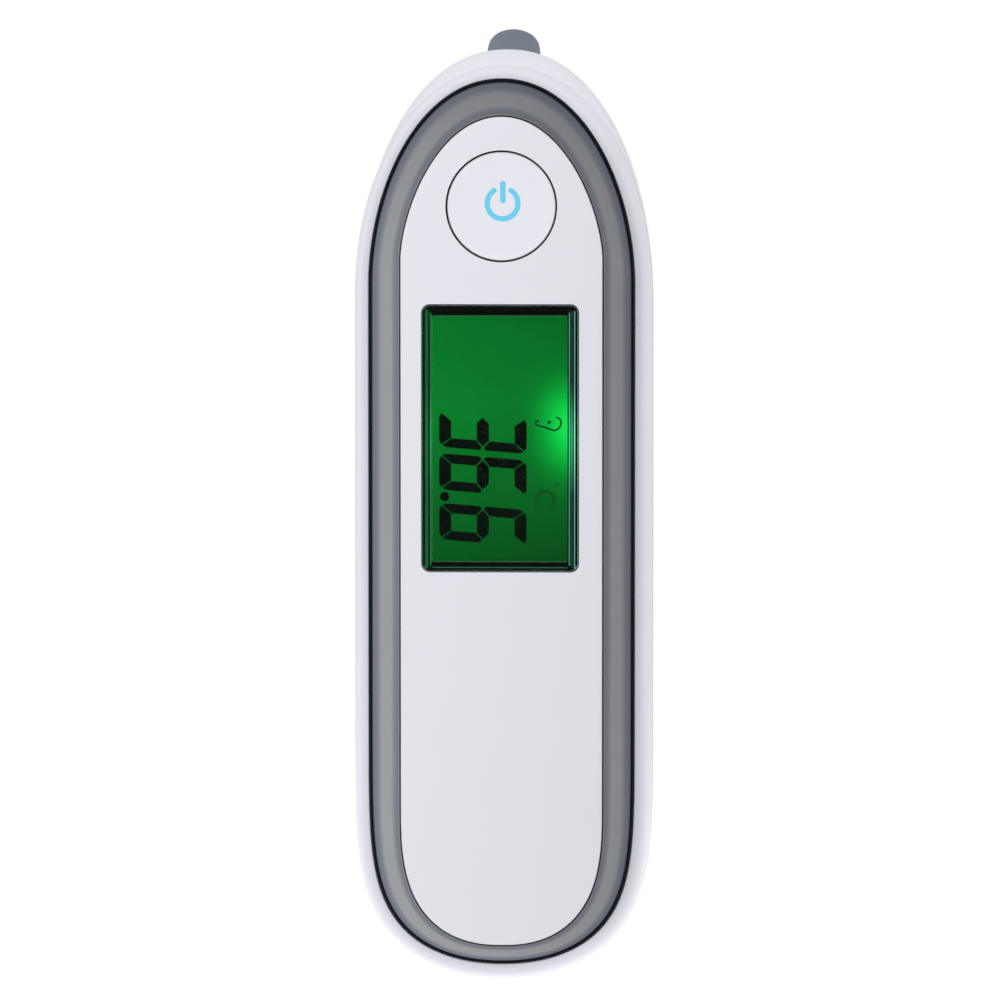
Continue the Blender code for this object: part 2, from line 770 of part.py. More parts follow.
def cells():
    for i, (side, bottom) in enumerate(zip((-1, 1), CELL_BOTTOMS)):
        x = side * CELL_X
        nub_down = side > 0
        ends = [
            (0.0, 0.0),
            (0.0, 1.9),
            (1.0, 1.9),
            (1.0, 4.4),
            (1.5, CELL_RADIUS),
            (CELL_LENGTH - 0.4, CELL_RADIUS),
            (CELL_LENGTH, 4.4),
            (CELL_LENGTH, 0.0),
        ]
        start = bottom if nub_down else bottom + CELL_LENGTH
        direction = (0, 0, 1) if nub_down else (0, 0, -1)
        turned(f"battery_{i + 1}", CELL_LABEL, ends, (x, CELL_Y, start), direction, 32)


def contact_spring(name, x, z0, z1):
    turns, per_turn = 3, 10
    count = turns * per_turn
    points = []
    for k in range(count + 1):
        angle = 2 * math.pi * k / per_turn
        share = k / count
        radius = 3.6 - 1.2 * share
        z = z0 + (z1 - z0) * share
        points.append((x + radius * math.cos(angle), CELL_Y + radius * math.sin(angle), z))
    wire(name, STEEL, points, 0.28)


def contacts():
    inner_top = TRAY[5] - TRAY_WALL
    plate_top = inner_top - 0.4
    for name, x in (("contact_plate_plus", -CELL_X), ("contact_plate_minus", CELL_X)):
        plate = box(name, STEEL, x - 4, x + 4, 0.2, 7.95, plate_top - GAP, plate_top)
        tab = box_helper(name + "_tab", x - 1.2, x + 1.2, 7.55, 7.95, plate_top - 0.2, TRAY[5] + 1.2)
        join(plate, tab)
    inner_bottom = TRAY[4] + TRAY_WALL
    plate_bottom = inner_bottom + 0.25
    box("contact_bridge", STEEL, -9.6, 9.6, 0.2, 8.2, plate_bottom, plate_bottom + 0.3)
    wire_half = 0.28 + 0.02
    contact_spring("contact_spring_1", -CELL_X, plate_bottom + 0.3 + wire_half + 0.2, CELL_BOTTOMS[0] - 0.55)
    cell_top = CELL_BOTTOMS[1] + CELL_LENGTH
    contact_spring("contact_spring_2", CELL_X, plate_top - GAP - wire_half - 0.2, cell_top + 0.55)
    for name, x in (("battery_lead_plus", -CELL_X), ("battery_lead_minus", CELL_X)):
        start = TRAY[5] + 1.8
        route = [
            (x, 7.7, start),
            (x, 6.0, start + 1.6),
            (x, 2.5, start + 2.4),
            (x, -2.5, start + 2.4),
        ]
        wire(name, WIRE_RED, smooth_path(route, 3), 0.5)


def case_screws():
    for i, (x, z) in enumerate(CASE_SCREWS):
        profile = [
            (-5.0, 0.0),
            (-5.0, 0.4),
            (-4.2, 0.95),
            (5.9, 0.95),
            (5.9, 2.2),
            (6.6, 2.2),
            (7.1, 1.7),
            (7.2, 0.0),
        ]
        turned(f"case_screw_{i + 1}", STEEL, profile, (x, 0, z), (0, 1, 0), 20)


clear_scene()
PARTS = new_collection("ear_thermometer", True)
CUTTERS = new_collection("cutters", False)

front_housing()
rear_housing()
trim_ring()
front_panel()
window_and_display()
power_button(joint_empty("power_button_axis", (0, 0, BUTTON_Z)))
switch(joint_empty("switch_plunger_axis", (0, 0, BUTTON_Z)))
board()
probe()
sensor_cable()
battery_tray()
cells()
contacts()
case_screws()
hang_on(battery_door(), joint_empty("battery_door_slide_axis", (0, HANDLE_BACK, DOOR_TOP)))
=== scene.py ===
"""Looks and fine shape of the ear thermometer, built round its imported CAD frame.

All sizes are millimetres until a mesh is made, when they are scaled to metres.
"""

import math
from typing import NamedTuple

import bmesh
import bpy
from mathutils import Matrix, Vector

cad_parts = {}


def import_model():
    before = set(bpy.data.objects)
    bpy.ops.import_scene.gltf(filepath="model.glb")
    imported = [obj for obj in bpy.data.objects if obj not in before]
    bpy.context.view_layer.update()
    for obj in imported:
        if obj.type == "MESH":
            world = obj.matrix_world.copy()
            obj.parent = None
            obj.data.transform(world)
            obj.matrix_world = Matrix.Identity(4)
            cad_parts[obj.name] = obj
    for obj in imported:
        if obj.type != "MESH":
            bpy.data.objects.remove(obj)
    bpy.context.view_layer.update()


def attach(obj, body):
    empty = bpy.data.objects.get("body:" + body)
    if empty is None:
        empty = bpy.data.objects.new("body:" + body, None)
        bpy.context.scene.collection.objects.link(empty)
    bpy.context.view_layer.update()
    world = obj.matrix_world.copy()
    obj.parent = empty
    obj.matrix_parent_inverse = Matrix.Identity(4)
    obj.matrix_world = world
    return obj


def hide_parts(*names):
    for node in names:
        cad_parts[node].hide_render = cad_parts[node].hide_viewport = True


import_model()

MM = 0.001

# ---- shared sizes, as in the CAD ----


class Outline(NamedTuple):
    """Straight sides and two superelliptic ends, whose exponents are p across and q along."""

    half_width: float
    top: float
    top_length: float
    top_p: float
    top_q: float
    bottom: float
    bottom_length: float
    bottom_p: float
    bottom_q: float


RIM = Outline(22.95, 69.9, 36.0, 2.0, 2.1, -71.0, 35.8, 2.08, 4.0)
HEAD = Outline(22.95, 72.45, 40.0, 2.15, 2.05, -71.0, 35.8, 2.08, 4.0)
RING_OUTER = Outline(20.12, 67.4, 31.1, 2.08, 1.9, -67.85, 42.3, 2.13, 5.6)
PANEL = Outline(15.46, 61.86, 21.7, 2.04, 1.61, -65.2, 21.6, 2.34, 2.96)
END_STEPS = 40
WALL = 1.8

# Where the casing's faces lie along Y, from the front to the back.
PANEL_FACE = -12.5
RIM_CREST = -11.8
RING_BACK = -10.9
DECK_FRONT = -10.6
DECK_BACK = -9.2
PARTING_FRONT = -3.0
PARTING_REAR = -2.7
LIP_END = -1.6

LIP_INSET = 2.9  # the inner face of the lip, measured in from the rim
RIM_CURVE = 1.75  # the width of the rim's rounded part
RIM_WIDTH = 2.53  # from the widest point of the rim in to the groove
RIM_POWER = 2.3

BACK_START = 1.0  # the Y where the handle is widest
HEAD_START = 7.0  # and where the head is
HANDLE_BACK = 12.5
SECTION_POWER = 2.6
BACK_BOTTOM_POWER = 0.5
# The back's depth, in even steps from the top down to the handle.
BACKS = (7.0, 11.0, 15.0, 19.8, 22.5, 21.0, 16.8, 14.6, 13.3, 12.8, 12.6)
HEAD_BACK_STEPS = 6  # how many steps of BACKS the rounded head takes
NECK_END = -6.0

# The window's opening and its visible part are (left, right, low, high).
WINDOW = (-12.3, 11.9, -7.8, 33.25)
WINDOW_RADIUS = 1.3
VIEW = (-10.75, 10.1, -6.3, 31.35)
BUTTON_Z = 48.2
BUTTON_RADIUS = 8.3
BUTTON_HOLE = 8.55
BUTTON_FACE = -12.4
FLANGE_RADIUS = 9.8
FLANGE_BACK = -8.3
STEM_END = -8.0
LCD_FRONT = -8.0
LED_X, LED_Z = 10.6, 14.1

CASE_SCREWS = ((-16.4, 22.0), (16.4, 22.0))
CASE_POST_RADIUS = 2.4
CASE_BORE_RADIUS = 1.25
WELL_RADIUS = 3.5
WELL_BORE_RADIUS = 2.5
BOARD_SCREWS = ((-9.0, 36.0), (9.0, 36.0), (-9.0, -14.0), (9.0, -14.0))
BOARD_POST_RADIUS = 2.0
BOARD_BORE_RADIUS = 1.1

PROBE_TIP = Vector((0.0, 30.0, 73.5))
PROBE_TILT = math.radians(48.0)
PROBE_AXIS = Vector((0.0, math.cos(PROBE_TILT), math.sin(PROBE_TILT)))
NECK_TOP = 13.6
NECK_ROOT = 26.0
NECK_TOP_RADIUS = 8.7
NECK_ROOT_RADIUS = 12.7
NECK_BORE = 6.6
SEAL_SEAT_RADIUS = 7.6

DOOR_HALF_WIDTH = 12.7
DOOR_TOP = -6.3
DOOR_FRONT = 3.1
DOOR_GAP = 0.3
TONGUE = (11.5, 14.0, 7.7, 8.7, -50.0, -12.0)  # the right rail's box, as X, Y and Z limits
RAIL_SIDE_PLAY = 0.5
RAIL_FACE_PLAY = 0.4
BEHIND = 30.0  # well clear of the back, for cutters
BELOW = RIM.bottom - BEHIND  # and of the bottom end


# ---- mesh helpers ----


def object_of(name, bm):
    """An object from a bmesh in millimetres."""
    bmesh.ops.remove_doubles(bm, verts=bm.verts, dist=1e-4)
    bmesh.ops.recalc_face_normals(bm, faces=bm.faces)
    bm.transform(Matrix.Scale(MM, 4))
    mesh = bpy.data.meshes.new(name)
    bm.to_mesh(mesh)
    bm.free()
    obj = bpy.data.objects.new(name, mesh)
    bpy.context.scene.collection.objects.link(obj)
    return obj


def combine(obj, operation, *others, keep=False):
    """Applies Booleans to obj, then removes the other solids unless they are to be kept."""
    for other in others:
        modifier = obj.modifiers.new(operation, "BOOLEAN")
        modifier.operation = operation
        modifier.solver = "EXACT"
        modifier.object = other
    bpy.context.view_layer.update()
    graph = bpy.context.evaluated_depsgraph_get()
    made = bpy.data.meshes.new_from_object(obj.evaluated_get(graph))
    obj.modifiers.clear()
    obj.data = made
    for other in () if keep else others:
        bpy.data.objects.remove(other, do_unlink=True)


def smooth(obj, angle=32.0):
    """Smooth shading that keeps flat faces flat."""
    obj.data.shade_smooth()
    obj.data.set_sharp_from_angle(angle=math.radians(angle))
    modifier = obj.modifiers.new("normals", "WEIGHTED_NORMAL")
    modifier.keep_sharp = True


def box(name, x0, x1, y0, y1, z0, z1):
    bm = bmesh.new()
    size = Matrix.Diagonal((x1 - x0, y1 - y0, z1 - z0, 1.0))
    centre = Matrix.Translation(((x0 + x1) / 2, (y0 + y1) / 2, (z0 + z1) / 2))
    bmesh.ops.create_cube(bm, size=1.0, matrix=centre @ size)
    return object_of(name, bm)


def cone(name, start, end, radius_start, radius_end, segments=64):
    start, end = Vector(start), Vector(end)
    turn = (end - start).to_track_quat("Z", "Y").to_matrix().to_4x4()
    bm = bmesh.new()
    bmesh.ops.create_cone(
        bm,
        cap_ends=True,
        segments=segments,
        radius1=radius_start,
        radius2=radius_end,
        depth=(end - start).length,
        matrix=Matrix.Translation((start + end) / 2) @ turn,
    )
    return object_of(name, bm)


def rod(name, start, end, radius, segments=64):
    return cone(name, start, end, radius, radius, segments)


def turned(name, profile, start, direction, steps=96):
    """A profile of (distance along, radius) pairs turned about a line."""
    turn = Vector(direction).to_track_quat("Z", "Y").to_matrix()
    start = Vector(start)
    bm = bmesh.new()
    rings = []
    for distance, radius in profile:
        if radius < 1e-6:
            rings.append([bm.verts.new(start + turn @ Vector((0, 0, distance)))])
            continue
        ring = []
        for k in range(steps):
            angle = 2 * math.pi * k / steps
            local = Vector((radius * math.cos(angle), radius * math.sin(angle), distance))
            ring.append(bm.verts.new(start + turn @ local))
        rings.append(ring)
    pairs = list(zip(rings, rings[1:]))
    if profile[0][1] > 1e-6:
        pairs.append((rings[-1], rings[0]))
    for a, b in pairs:
        bridge(bm, a, b)
    return object_of(name, bm)


def bridge(bm, a, b):
    """Faces between two closed loops of equal length, or between a loop and a point."""
    count = max(len(a), len(b))
    for i in range(count):
        j = (i + 1) % count
        if len(a) == 1:
            bm.faces.new((a[0], b[j], b[i]))
        elif len(b) == 1:
            bm.faces.new((a[i], a[j], b[0]))
        else:
            bm.faces.new((a[i], a[j], b[j], b[i]))


def arc_profile(centre, radius, start, end, steps):
    """Points of an arc as (first, second) pairs, with angles in degrees."""
    points = []
    for k in range(steps + 1):
        angle = math.radians(start + (end - start) * k / steps)
        points.append((centre[0] + radius * math.cos(angle), centre[1] + radius * math.sin(angle)))
    return points


def catmull_rom(four, t):
    a, b, c, d = four
    return 0.5 * (2 * b + (c - a) * t + (2 * a - 5 * b + 4 * c - d) * t**2 + (3 * b - a - 3 * c + d) * t**3)


def spline_at(values, place):
    """The value at a place counted in steps along evenly spaced values."""
    ends = [2 * values[0] - values[1], *values, 2 * values[-1] - values[-2]]
    i = min(max(int(place), 0), len(values) - 2)
    return catmull_rom(ends[i : i + 4], place - i)


def smooth_path(points, per_span):
    given = [Vector(p) for p in points]
    last = len(given) - 1
    return [spline_at(given, last * k / (last * per_span)) for k in range(last * per_span + 1)]


# ---- outlines ----


def end_point(half_width, tip, length, p, q, angle):
    across = half_width * max(math.sin(angle), 0.0) ** (2 / p)
    along_end = length * max(math.cos(angle), 0.0) ** (2 / q)
    return across, tip - length + along_end


def top_point(o, angle):
    return end_point(o.half_width, o.top, o.top_length, o.top_p, o.top_q, angle)


def bottom_point(o, angle):
    across, height = end_point(o.half_width, -o.bottom, o.bottom_length, o.bottom_p, o.bottom_q, angle)
    return across, -height


def quarter(steps=END_STEPS):
    """Even angles over a quarter turn."""
    return [math.pi / 2 * k / steps for k in range(steps + 1)]


SIDE_POINTS = 6


def outline(o):
    """The closed outline as (x, z) pairs, from the bottom up the right side and down the left."""
    right = [bottom_point(o, a) for a in quarter()]
    top = [top_point(o, a) for a in reversed(quarter())]
    low, high = right[-1][1], top[0][1]
    for k in range(1, SIDE_POINTS):
        right.append((o.half_width, low + (high - low) * k / SIDE_POINTS))
    right += top
    left = [(-x, z) for x, z in reversed(right[1:-1])]
    return right + left


def inset(o, distance):
    return o._replace(
        half_width=o.half_width - distance,
        top=o.top - distance,
        top_length=o.top_length - distance,
        bottom=o.bottom + distance,
        bottom_length=o.bottom_length - distance,
    )


def between(a, b, share):
    return Outline(*(x + (y - x) * share for x, y in zip(a, b)))


def stack(name, rings, closed=False, attribute="", values=()):
    """A solid skinned over (outline, y) rings. An attribute for its material has one value for each ring."""
    bm = bmesh.new()
    layer = bm.verts.layers.float.new(attribute) if attribute else None
    loops = [[bm.verts.new((x, y, z)) for x, z in outline(o)] for o, y in rings]
    for loop, value in zip(loops, values):
        for vert in loop:
            vert[layer] = value
    for lower, upper in zip(loops, loops[1:]):
        bridge(bm, lower, upper)
    if closed:
        bridge(bm, loops[-1], loops[0])
    else:
        bm.faces.new(loops[0])
        bm.faces.new(loops[-1])
    return object_of(name, bm)


def round_rect(sides, radius, steps=8):
    x0, x1, z0, z1 = sides
    corners = (
        (x1 - radius, z0 + radius, -90),
        (x1 - radius, z1 - radius, 0),
        (x0 + radius, z1 - radius, 90),
        (x0 + radius, z0 + radius, 180),
    )
    points = []
    for x, z, start in corners:
        points += arc_profile((x, z), radius, start, start + 90, steps)
    return points


def grown(sides, distance):
    x0, x1, z0, z1 = sides
    return (x0 - distance, x1 + distance, z0 - distance, z1 + distance)


def circle(x, z, radius, steps=96):
    return arc_profile((x, z), radius, 0, 360 - 360 / steps, steps - 1)


def plate(name, outer, holes=()):
    """A plate in the XZ plane. outer and each hole are lists of (loop, y), from the front to the back."""
    bm = bmesh.new()
    front, back = [], []
    for walls in (outer, *holes):
        loops = [[bm.verts.new((x, y, z)) for x, z in loop] for loop, y in walls]
        for a, b in zip(loops, loops[1:]):
            bridge(bm, a, b)
        front.append(loops[0])
        back.append(loops[-1])
    for loops in (front, back):
        edges = []
        for loop in loops:
            edges += [bm.edges.get((a, b)) for a, b in zip(loop, loop[1:] + loop[:1])]
        bmesh.ops.triangle_fill(bm, use_beauty=True, edges=edges)
    return object_of(name, bm)


# ---- materials ----


class Look:
    """A node material on one Principled shader, with short ways to add nodes."""

    def __init__(self, name, colour, roughness, metallic=0.0, **sockets):
        self.material = bpy.data.materials.new(name)
        self.material.use_nodes = True
        self.tree = self.material.node_tree
        self.shader = self.tree.nodes["Principled BSDF"]
        self.shader.inputs["Base Color"].default_value = (*colour, 1.0)
        self.shader.inputs["Roughness"].default_value = roughness
        self.shader.inputs["Metallic"].default_value = metallic
        for key, value in sockets.items():
            self.shader.inputs[key.replace("_", " ")].default_value = value
        self.place = self.add("ShaderNodeTexCoord").outputs["Object"]

    def add(self, kind, **inputs):
        node = self.tree.nodes.new(kind)
        for key, value in inputs.items():
            node.inputs[key.replace("_", " ")].default_value = value
        return node

    def link(self, output, target):
        self.tree.links.new(output, target)

    def noise(self, scale, detail=2.0, stretch=(1, 1, 1)):
        mapping = self.add("ShaderNodeMapping", Scale=stretch)
        self.link(self.place, mapping.inputs["Vector"])
        node = self.add("ShaderNodeTexNoise", Scale=scale, Detail=detail)
        self.link(mapping.outputs[0], node.inputs["Vector"])
        return node.outputs["Fac"]

    def axis(self, letter):
        split = self.add("ShaderNodeSeparateXYZ")
        self.link(self.place, split.inputs[0])
        return split.outputs[letter]

    def attribute(self, name):
        node = self.tree.nodes.new("ShaderNodeAttribute")
        node.attribute_name = name
        return node.outputs["Fac"]

    def math(self, operation, a, b=None):
        node = self.tree.nodes.new("ShaderNodeMath")
        node.operation = operation
        for socket, value in zip(node.inputs, (a, b)):
            if value is None:
                continue
            if isinstance(value, (int, float)):
                socket.default_value = value
            else:
                self.link(value, socket)
        return node.outputs[0]

    def spread(self, value, low, high, to_low, to_high):
        node = self.add("ShaderNodeMapRange")
        for socket, limit in zip(list(node.inputs)[1:5], (low, high, to_low, to_high)):
            socket.default_value = limit
        self.link(value, node.inputs[0])
        return node.outputs[0]

    def ramp(self, value, stops, smooth_steps=False):
        node = self.tree.nodes.new("ShaderNodeValToRGB")
        node.color_ramp.interpolation = "EASE" if smooth_steps else "LINEAR"
        elements = node.color_ramp.elements
        while len(elements) < len(stops):
            elements.new(0.5)
        for element, (place, colour) in zip(elements, stops):
            element.position = place
            element.color = (*colour, 1.0)
        self.link(value, node.inputs[0])
        return node.outputs[0]

    def mix(self, share, a, b, blend="MIX"):
        node = self.tree.nodes.new("ShaderNodeMix")
        node.data_type = "RGBA"
        node.blend_type = blend
        for socket, value in ((node.inputs[0], share), (node.inputs[6], a), (node.inputs[7], b)):
            if isinstance(value, (int, float)):
                socket.default_value = value
            elif isinstance(value, tuple):
                socket.default_value = (*value, 1.0)
            else:
                self.link(value, socket)
        return node.outputs[2]

    def times(self, a, b):
        return self.math("MULTIPLY", a, b)

    def colour(self, output):
        self.link(output, self.shader.inputs["Base Color"])

    def roughness(self, output):
        self.link(output, self.shader.inputs["Roughness"])

    def emit(self, output):
        self.link(output, self.shader.inputs["Emission Color"])
        self.shader.inputs["Emission Strength"].default_value = 1.0

    def bump(self, height, distance_mm):
        node = self.add("ShaderNodeBump", Distance=distance_mm * MM, Strength=1.0)
        self.link(height, node.inputs["Height"])
        self.link(node.outputs[0], self.shader.inputs["Normal"])


def moulded(name, colour, roughness, grain, depth, tint, gloss=0.05, **sockets):
    """Moulded plastic: a fine spark-eroded grain, slightly uneven gloss and colour."""
    look = Look(name, colour, roughness, **sockets)
    dark = tuple(c * (1 - tint) for c in colour)
    look.colour(look.ramp(look.noise(90.0, 3.0), ((0.35, dark), (0.65, colour))))
    look.roughness(look.spread(look.noise(700.0, 3.0), 0.3, 0.7, roughness - gloss, roughness + gloss))
    look.bump(look.noise(grain), depth)
    return look


def eased(look, radius):
    """Shades sharp edges as if they were rounded to a radius in metres."""
    bevel = look.add("ShaderNodeBevel")
    bevel.samples = 6
    bevel.inputs["Radius"].default_value = radius
    bump = look.shader.inputs["Normal"].links[0].from_node
    look.link(bevel.outputs["Normal"], bump.inputs["Normal"])


def painted_groove_shade(look):
    """Painted shade: darkens the white towards the groove of the ring, most of all on the right."""
    most = look.spread(look.axis("X"), 0.012, 0.0215, 0.1, 0.36)
    share = look.times(look.attribute("shade"), most)
    socket = look.shader.inputs["Base Color"]
    look.colour(look.mix(share, socket.links[0].from_socket, grey(0.0)))


def painted_shade_along(look, axis, low, high, at_low, at_high):
    """Painted shade: tones the base colour evenly along one axis, from at_low at low to at_high at high."""
    socket = look.shader.inputs["Base Color"]
    share = look.spread(look.axis(axis), low, high, 0.0, 1.0)
    painted_shade_tone = look.ramp(share, ((0.0, grey(at_low)), (1.0, grey(at_high))))
    look.colour(look.mix(1.0, socket.links[0].from_socket, painted_shade_tone, "MULTIPLY"))


def grey(level):
    return (level, level, level)


def srgb(r, g, b):
    """A linear colour from display values of 0 to 255."""
    return tuple(((c / 255 + 0.055) / 1.055) ** 2.4 if c > 10 else c / 255 / 12.92 for c in (r, g, b))


def placed(obj, body, slot, look, *nodes):
    obj.data.materials.clear()
    obj.data.materials.append(look.material)
    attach(obj, body)
    if nodes:
        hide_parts(*nodes)
    return obj


# ---- looks ----

WHITE = srgb(235, 235, 245)
PANEL_WHITE = (0.925, 0.925, 1.0)

shell_look = moulded("white_shell", WHITE, 0.34, 2600.0, 0.0004, 0.012, 0.02)
painted_shade_rim_look = moulded("white_rim_painted_shade", WHITE, 0.34, 2600.0, 0.0004, 0.012, 0.02)
for case_look in (shell_look, painted_shade_rim_look):
    eased(case_look, 0.0003)
# Painted shade on the rim, deepest at the ring's groove and on the right.
painted_groove_shade(painted_shade_rim_look)
panel_look = moulded("white_panel", PANEL_WHITE, 0.26, 2600.0, 0.00002, 0.004, 0.003)
# Painted shade on the panel: darker towards the bottom and towards the right.
painted_shade_along(panel_look, "Z", -0.066, 0.062, 0.875, 1.0)
painted_shade_along(panel_look, "X", -0.015, 0.015, 1.0, 0.93)
button_look = moulded("white_button", srgb(245, 245, 254), 0.28, 2600.0, 0.00002, 0.004, 0.003)
# Painted shade for the dark liners in the gaps.
painted_gap_shade_look = moulded("painted_gap_shade", srgb(22, 28, 42), 0.6, 1800.0, 0.006, 0.25)
print_look = moulded("button_print", srgb(112, 220, 255), 0.45, 3000.0, 0.002, 0.06)


def ring_look():
    """Satin grey lacquer with painted light and shade: a painted highlight along the crown of the band and
    cooler painted shade on its shoulders.
    """
    look = moulded("satin_grey", srgb(150, 148, 150), 0.34, 3200.0, 0.004, 0.02, Specular_IOR_Level=0.35)
    shaded_shoulder = srgb(120, 125, 134)
    # Across the band from its inner edge out: a painted highlight along the inner edge and the crown,
    # painted shade on the shoulders, and a painted shadow on the outer flank by the groove.
    stops = (
        (0.0, srgb(172, 176, 180)),
        (0.05, shaded_shoulder),
        (0.18, srgb(138, 141, 149)),
        (0.29, srgb(166, 165, 169)),
        (0.62, srgb(163, 163, 168)),
        (0.79, shaded_shoulder),
        (0.9, srgb(112, 118, 129)),
        (0.945, srgb(92, 99, 112)),
        (0.968, srgb(24, 30, 42)),
    )
    band = look.ramp(look.attribute("across"), stops)
    # Painted shade: the band darkens towards the top and towards the right.
    height = look.spread(look.axis("Z"), -0.068, 0.068, 0.0, 1.0)
    painted_shade_tone = look.ramp(height, ((0.8, grey(1.0)), (1.0, (0.74, 0.74, 0.76))))
    side = look.spread(look.axis("X"), -0.019, 0.019, 0.0, 1.0)
    lean = look.ramp(side, ((0.0, grey(1.0)), (0.45, grey(0.88)), (1.0, (0.66, 0.66, 0.67))))
    streaks = look.ramp(look.noise(40.0, 3.0, (3, 3, 0.6)), ((0.3, grey(0.94)), (0.7, grey(1.0))))
    shaded = look.mix(1.0, look.mix(1.0, band, painted_shade_tone, "MULTIPLY"), lean, "MULTIPLY")
    look.colour(look.mix(1.0, shaded, streaks, "MULTIPLY"))
    return look


def lcd_look():
    """A reflective LCD lit green from one LED beyond its right edge."""
    look = Look("lcd_green", (0.002, 0.012, 0.004), 0.3, Specular_IOR_Level=0.1)
    x, z = look.axis("X"), look.axis("Z")
    side = look.times(look.math("SUBTRACT", x, LED_X * MM), 1.4)
    rise = look.math("SUBTRACT", z, LED_Z * MM)
    square = look.math("ADD", look.times(side, side), look.times(rise, rise))
    spot = look.times(look.math("EXPONENT", look.times(square, -3.0e4)), 0.7)
    height = look.spread(z, -0.007, 0.018, 0.082, 0.2)
    top = look.spread(z, 0.018, 0.0314, 1.0, 0.78)
    right = look.spread(x, -0.01, 0.0101, 1.1, 0.86)
    base = look.times(look.times(height, top), right)
    cloud = look.spread(look.noise(120.0, 3.0), 0.3, 0.7, 0.94, 1.06)
    glow = look.times(look.math("ADD", base, spot), cloud)
    dark, mid, bright = (0.0005, 0.1, 0.012), (0.001, 0.5, 0.05), (0.01, 1.0, 0.12)
    look.emit(look.ramp(glow, ((0.0, grey(0.0)), (0.1, dark), (0.5, mid), (1.0, bright))))
    return look


def ink_look(name, colour, glow=0.0):
    look = moulded(name, colour, 0.5, 3000.0, 0.001, 0.2, Specular_IOR_Level=0.1)
    if glow:
        look.shader.inputs["Emission Color"].default_value = (*colour, 1.0)
        look.shader.inputs["Emission Strength"].default_value = glow
    return look


def painted_edge_light(name, far, near):
    """Painted light: a line that glows where the window's edges catch light, brightest beside the LED."""
    look = Look(name, (0.01, 0.03, 0.02), 0.5, Specular_IOR_Level=0.1)
    away = look.math("ABSOLUTE", look.math("SUBTRACT", look.axis("Z"), 0.0125))
    cloud = look.spread(look.noise(350.0), 0.3, 0.7, 0.85, 1.0)
    share = look.times(look.spread(away, 0.0, 0.009, 0.0, 1.0), cloud)
    look.emit(look.ramp(share, ((0.0, near), (1.0, far)), True))
    return look


lcd_ink = ink_look("lcd_ink", srgb(8, 26, 15))
faint_ink = ink_look("faint_ink", srgb(5, 72, 24), 0.9)
symbol_ink = ink_look("symbol_ink", srgb(6, 52, 24), 0.7)
bezel_look = moulded("bezel_green_black", srgb(3, 14, 8), 0.6, 900.0, 0.001, 0.3, Specular_IOR_Level=0.1)
teal_line = painted_edge_light("teal_line", srgb(26, 108, 66), srgb(40, 155, 100))
green_line = painted_edge_light("green_line", srgb(16, 94, 38), srgb(20, 108, 44))
pale_line = painted_edge_light("pale_line", srgb(96, 140, 142), srgb(80, 215, 160))
teal_band = painted_edge_light("teal_band", srgb(5, 40, 34), srgb(36, 160, 100))
glint_line = painted_edge_light("glint_line", srgb(104, 152, 146), srgb(150, 250, 212))
dim_line = painted_edge_light("dim_line", srgb(50, 104, 74), srgb(50, 104, 74))


# ---- casing ----


def rim_section(steps):
    """The rim's outer curve, from the parting line forward to the crest, as (inset, y) pairs."""
    depth = PARTING_FRONT - RIM_CREST
    points = []
    for angle in quarter(steps):
        step_in = RIM_CURVE * (1 - math.cos(angle) ** (2 / RIM_POWER))
        points.append((step_in, PARTING_FRONT - depth * math.sin(angle) ** (2 / RIM_POWER)))
    return points


def front_shell():
    groove = inset(RING_OUTER, -0.3)
    rings = [
        (inset(RIM, 2.0), DECK_BACK),
        (inset(RIM, LIP_INSET), DECK_BACK + 1.2),
        (inset(RIM, LIP_INSET), LIP_END),
        (inset(RIM, 2.1), LIP_END),
        (inset(RIM, 2.1), PARTING_FRONT),
        (inset(RIM, 0.15), PARTING_FRONT),
        (inset(RIM, 0.04), PARTING_FRONT - 0.05),
    ]
    # Each ring's share of the rim's painted shade, which is deepest at the groove.
    shades = [0.0] * len(rings)
    for step_in, y in rim_section(16):
        if y < PARTING_FRONT - 0.1:
            rings.append((inset(RIM, step_in), y))
            shades.append(step_in / RIM_WIDTH)
    crest = inset(RIM, RIM_CURVE)
    for share in (0.25, 0.5, 0.75, 0.92):
        rings.append((between(crest, groove, share), RIM_CREST + 0.18 * share**3))
        shades.append((RIM_CURVE + share * (RIM_WIDTH - RIM_CURVE)) / RIM_WIDTH)
    rings += [(groove, RIM_CREST + 0.35), (groove, DECK_FRONT)]
    shades += [1.0, 1.0]
    shell = stack("front_shell", rings, False, "shade", shades)
    before, behind = -14.0, -7.0  # either side of the deck that carries the ring and the panel
    cutters = [
        box("view_cut", VIEW[0], VIEW[1], before, behind, VIEW[2], VIEW[3]),
        rod("button_deck_cut", (0, before, BUTTON_Z), (0, behind, BUTTON_Z), BUTTON_HOLE + 0.05, 96),
    ]
    posts = []
    for i, (x, z) in enumerate(CASE_SCREWS):
        posts.append(rod(f"case_post_{i}", (x, DECK_BACK - 0.7, z), (x, 4.0, z), CASE_POST_RADIUS, 32))
        cutters.append(rod(f"case_bore_{i}", (x, -6.5, z), (x, 5.0, z), CASE_BORE_RADIUS, 24))
    for i, (x, z) in enumerate(BOARD_SCREWS):
        posts.append(rod(f"board_post_{i}", (x, DECK_BACK - 0.7, z), (x, -4.9, z), BOARD_POST_RADIUS, 24))
        cutters.append(rod(f"board_bore_{i}", (x, -8.3, z), (x, -4.0, z), BOARD_BORE_RADIUS, 20))
    combine(shell, "UNION", *posts)
    combine(shell, "DIFFERENCE", *cutters)
    smooth(shell)
    placed(shell, "housing", "white_shell", painted_shade_rim_look, "front_housing")


